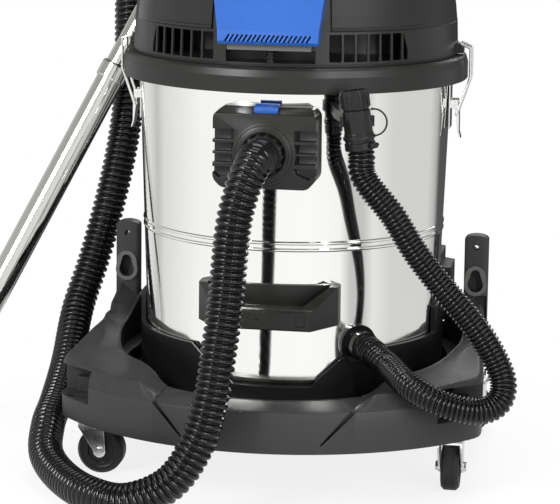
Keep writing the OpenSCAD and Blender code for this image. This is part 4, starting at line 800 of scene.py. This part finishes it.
# ---------------------------------------------------------------- casters
# Four swivel casters: a zinc-plated pressed fork that turns in a plate held to the tray
# by four screws, and a moulded wheel with a black rubber tyre.
def build_smear():
    """A stretched cloud, also given as a roughness between two levels."""
    g, given, out = node_group(
        "hand_smear", [("Scale", VECTOR, (6, 6, 6)), ("Low", FLOAT, 0.1), ("High", FLOAT, 0.25)],
        [("Roughness", FLOAT), ("Cloud", FLOAT)])
    place = add(g, "TexCoord").outputs["Object"]
    stretch = calc(g, "MULTIPLY", place, given.outputs["Scale"], kind="VectorMath")
    cloud = noise(g, stretch, 1.0, 6.0, 0.62, 0.6)
    level = add(g, "MapRange", {"From Min": 0.35, "From Max": 0.72},
                {"Value": cloud, "To Min": given.outputs["Low"], "To Max": given.outputs["High"]})
    g.links.new(level.outputs[0], out.inputs["Roughness"])
    g.links.new(cloud, out.inputs["Cloud"])
    return g


SMEAR = build_smear()


def bright_metal(name, colour, low, high, smear=(8, 8, 8), edge=0.0008, scratch=(400, 400, 14),
                 relief=0.06, tint=0.06):
    """Bare or plated metal: a smeared roughness, fine drawn lines as bump, and edges rounded."""
    m, t, body, _ = material(name)
    film = grouped(t, SMEAR, Scale=smear, Low=low, High=high)
    rim = grouped(t, EDGE, Radius=edge, Break_Up=90.0)
    drawn = calc(t, "MULTIPLY", add(t, "TexCoord").outputs["Object"], scratch, kind="VectorMath")
    c = np.array(colour)
    tone = mix_colour(t, film.outputs["Cloud"], tuple(c * (1 - tint)),
                      tuple(np.minimum(c * (1 + tint / 2), 1)))
    bump = add(t, "Bump", {"Strength": relief, "Distance": 0.0001},
               {"Height": noise(t, drawn, 1.0, 3.0), "Normal": rim.outputs["Normal"]})
    t.links.new(tone, body.inputs["Base Color"])
    t.links.new(film.outputs["Roughness"], body.inputs["Roughness"])
    t.links.new(bump.outputs[0], body.inputs["Normal"])
    body.inputs["Metallic"].default_value = 1.0
    return m


zinc = bright_metal("zinc_plate", (0.86, 0.86, 0.85), 0.16, 0.26, smear=(30, 30, 30))
dress(zinc, "caster_plates", "caster_screws", "fork_fl", "fork_fr", "fork_rl", "fork_rr")
tyre = moulded_plastic("tyre_rubber", (0.010, 0.010, 0.010), 0.45, grain=600, relief=0.5, wear=1.8)
dress(tyre, "wheel_fl", "wheel_fr", "wheel_rl", "wheel_rr")


# ---------------------------------------------------------------- drum, ring and handle
# A polished stainless drum, rolled from sheet with a bead round it, and a black moulded
# ring clipped over its rim. The tipping handle is riveted low on the front.
def curl_foot(finish):
    """The drum's sheet curls in at its foot: the normal tips up by up to 6 degrees there, so
    the foot mirrors the room and not the trolley."""
    t = finish.node_tree
    body = next(n for n in t.nodes if n.type == "BSDF_PRINCIPLED")
    level = add(t, "SeparateXYZ", {}, {0: add(t, "TexCoord").outputs["Object"]}).outputs["Z"]
    tip = spread(t, level, 0.24, 0.16, 0.0, 0.11, interpolation_type="SMOOTHSTEP")
    up = add(t, "CombineXYZ", {}, {"Z": tip}).outputs[0]
    both = calc(t, "ADD", body.inputs["Normal"].links[0].from_socket, up, kind="VectorMath")
    t.links.new(calc(t, "NORMALIZE", both, kind="VectorMath"), body.inputs["Normal"])


sheet_steel = bright_metal("drum_steel", (0.83, 0.835, 0.815), 0.035, 0.10, smear=(5, 5, 3),
                           scratch=(60, 60, 900), relief=0.02)
curl_foot(sheet_steel)
dress(sheet_steel, "drum")
dress(charcoal, "ring_band", "front_handle")


# ---------------------------------------------------------------- inlet fittings
# The swivel cuff that turns in the inlet plate, the blue tab that locks it, and the bent
# deflector inside the drum that throws the dirty water down.
glossy_black = moulded_plastic("glossy_black", (0.010, 0.0105, 0.0095), 0.13, grain=300, relief=0.03,
                               dust=0.03)
blue = moulded_plastic("blue_gloss", (0.018, 0.098, 0.40), 0.26, grain=700, relief=0.10, coat=0.25)
dress(glossy_black, "hose_cuff")
dress(blue, "inlet_tab")
dress(charcoal, "inlet_deflector")


# ---------------------------------------------------------------- drain fittings
# A moulded elbow at the drum's foot, a clamp on the hose, and at its far end a sleeve with
# a plug on a rubber tether, hung in a clip under the ring.
rubber = moulded_plastic("black_rubber", (0.009, 0.009, 0.0088), 0.36, grain=900, relief=0.2, wear=1.6,
                         dust=0.10)
dress(glossy_black, "drain_elbow", "drain_sleeve", "drain_cap")
dress(satin, "drain_clamp", "drain_clip")
dress(rubber, "drain_tether")


# ---------------------------------------------------------------- wand
# Two chromed steel tubes joined by a collar and a bent hand tube, with a rubber cuff that
# takes the hose. The wand stands on the floor beside the machine.
tube = bright_metal("tube_chrome", (0.60, 0.60, 0.58), 0.04, 0.10, smear=(9, 9, 9), relief=0.015)
dress(tube, "wand_lower", "wand_upper", "hand_tube", "wand_collar")
dress(rubber, "hand_cuff")


# ---------------------------------------------------------------- latches
# Two toggle latches of bright spring steel: a base riveted to the drum, a lever, and a
# wire bail that pulls the head down on its gasket.
spring = bright_metal("spring_steel", (0.76, 0.76, 0.75), 0.12, 0.24, smear=(40, 40, 40))
dress(spring, "latch_bases", "latch_lever_l", "latch_lever_r", "latch_bail_l", "latch_bail_r")


# ---------------------------------------------------------------- head
# A vented skirt under a domed shell with a cover on each side, and a blue hood that runs
# over the top and carries the switches. All are moulded and screwed to the motor plate.
smoke = moulded_plastic("smoke_cover", (0.010, 0.0112, 0.0105), 0.22, grain=400, relief=0.04, coat=0.1,
                        dust=0.04)
matt = moulded_plastic("matt_cover", (0.0100, 0.0108, 0.0096), 0.46, grain=1500, relief=0.2, dust=0.06)
dress(smoke, "cover_left")
dress(matt, "cover_right", "head_shell")
dress(blue, "blue_hood")
dress(pocket_grey, "grey_bar")
dress(glossy_black, "recess_stud")
dress(charcoal, "head_skirt", "carry_handle")
dress(satin, "rocker_a", "rocker_b")
dress(rubber, "cord_gland")


# ---------------------------------------------------------------- inside the head
# The motor plate closes the drum on a rubber gasket. It carries two motors with their
# fans, the float in its cage, and the ribbed basket that holds the cloth.
dress(charcoal, "motor_plate", "float_cage")
dress(satin, "filter_basket")
dress(rubber, "gasket")
dress(moulded_plastic("motor_casing", (0.20, 0.20, 0.205), 0.40, grain=500), "motors", "fan_a", "fan_b")
dress(moulded_plastic("pale_plastic", (0.68, 0.68, 0.64), 0.35), "float_ball")


# ---------------------------------------------------------------- floor and light
# A white sweep of floor under soft boxes: one large box at the left front, a lower one at
# the right, a strip behind for the rim, and a pale room for the metal to mirror.
def soft_box(name, place, look_at, width, height, power, colour=(1, 1, 1)):
    data = bpy.data.lights.new(name, "AREA")
    data.shape, data.size, data.size_y = "RECTANGLE", width, height
    data.energy, data.color = power, colour
    lamp = bpy.data.objects.new(name, data)
    away = unit(np.array(place, float) - np.array(look_at, float))
    side = unit(np.cross([0, 0, 1], away))
    matrix = np.eye(4)
    matrix[:3, 0], matrix[:3, 1], matrix[:3, 2] = side, np.cross(away, side), away
    matrix[:3, 3] = place
    lamp.matrix_world = Matrix(matrix.tolist())
    bpy.context.scene.collection.objects.link(lamp)
    return lamp


soft_box("key_box", (-2.2, -2.6, 2.3), (0, 0, 0.35), 1.2, 1.2, 48)
soft_box("fill_box", (2.6, -2.0, 1.5), (0, 0, 0.35), 0.7, 1.8, 30)
soft_box("left_strip", (-1.5, -2.9, 1.9), (0, -0.2, 0.3), 0.26, 1.3, 52)
soft_box("right_strip", (1.7, -2.7, 1.4), (0, -0.2, 0.3), 0.20, 1.2, 32)
soft_box("top_box", (0.0, 0.2, 3.0), (0, 0, 0.3), 1.8, 1.8, 40)
soft_box("rim_box", (0.4, 2.8, 2.0), (0, 0, 0.4), 2.0, 1.0, 30)

WALL_MAX = 1.25
WALLS = [(-180, 0.08), (-146, 0.10), (-138, 0.86), (-124, 0.80), (-112, 0.62), (-102, 0.84),
         (-62, 1.10), (20, 1.16), (42, 1.10), (50, 0.66), (60, 0.66), (68, 0.94), (84, 0.78),
         (126, 0.76), (138, 0.52), (146, 0.10), (180, 0.08)]


def build_walls():
    """Brightness of the studio's walls by compass angle, as the metal mirrors them: white
    paper all round, a greyer join at the right and a dark doorway straight behind."""
    g, given, out = node_group("studio_walls", [("Vector", VECTOR, (0, 0, 0))], [("Level", FLOAT)])
    split = add(g, "SeparateXYZ", {}, {0: given.outputs[0]})
    turn = calc(g, "ARCTAN2", split.outputs["X"], calc(g, "MULTIPLY", split.outputs["Y"], -1.0))
    ramp = add(g, "ValToRGB", {}, {0: spread(g, turn, -math.pi, math.pi)})
    stops = ramp.color_ramp.elements
    stops[0].position, stops[1].position = 0.0, 1.0
    for k, (angle, level) in enumerate(WALLS):
        stop = stops[0] if k == 0 else stops[-1] if k == len(WALLS) - 1 else stops.new((angle + 180) / 360)
        stop.color = (level / WALL_MAX,) * 3 + (1,)
    g.links.new(calc(g, "MULTIPLY", ramp.outputs[0], WALL_MAX), out.inputs[0])
    return g


WALL_GROUP = build_walls()


def studio_world():
    """White to the camera; a soft grey room for diffuse light; the walls for reflections,
    fading to a dim ceiling."""
    world = bpy.data.worlds.new("studio")
    bpy.context.scene.world = world
    world.use_nodes = True
    t = world.node_tree
    t.nodes.clear()
    way = add(t, "TexCoord").outputs["Generated"]
    walls = add(t, "Group", {}, {0: way}, node_tree=WALL_GROUP).outputs[0]
    lift = spread(t, add(t, "SeparateXYZ", {}, {0: way}).outputs["Z"], 0.25, 0.65, 1.0, 0.30)
    soft = add(t, "Background", {"Color": (0.9, 0.9, 0.9, 1), "Strength": 0.30})
    white = add(t, "Background", {"Color": (1, 1, 1, 1)})
    mirror = add(t, "Background", {"Color": (1.0, 1.0, 0.985, 1)},
                 {"Strength": calc(t, "MULTIPLY", lift, walls)})
    path, room = add(t, "LightPath"), soft
    for ray, light in (("Is Glossy Ray", mirror), ("Is Camera Ray", white)):
        room = add(t, "MixShader", {}, {0: path.outputs[ray], 1: room.outputs[0], 2: light.outputs[0]})
    add(t, "OutputWorld", {}, {"Surface": room.outputs[0]})


studio_world()


def floor_sheet():
    """Paper that keeps the shadow near the object and turns to plain white further out;
    reflections see the walls' brightness on it beyond the same distance."""
    corners = [(-14, -14, 0), (14, -14, 0), (14, 14, 0), (-14, 14, 0)]
    obj = mesh_object("floor", corners, [(0, 1, 2, 3)], False)
    m, t, body, out = material("floor_paper")
    body.inputs["Base Color"].default_value = (0.93, 0.93, 0.93, 1)
    body.inputs["Roughness"].default_value = 0.6
    place = add(t, "TexCoord").outputs["Object"]
    far = calc(t, "LENGTH", place, kind="VectorMath")
    walls = add(t, "Group", {}, {0: place}, node_tree=WALL_GROUP).outputs[0]
    path, plain, glow = add(t, "LightPath"), add(t, "Emission"), add(t, "Emission", {}, {"Strength": walls})
    paper = body
    for ray, near, beyond, low, light in (("Is Glossy Ray", 0.30, 0.60, 0.55, glow),
                                          ("Is Camera Ray", 0.34, 0.62, 0.84, plain)):
        share = calc(t, "MULTIPLY", path.outputs[ray], spread(t, far, near, beyond, low))
        paper = add(t, "MixShader", {}, {0: share, 1: paper.outputs[0], 2: light.outputs[0]})
    t.links.new(paper.outputs[0], out.inputs["Surface"])
    dress(m, obj)


floor_sheet()
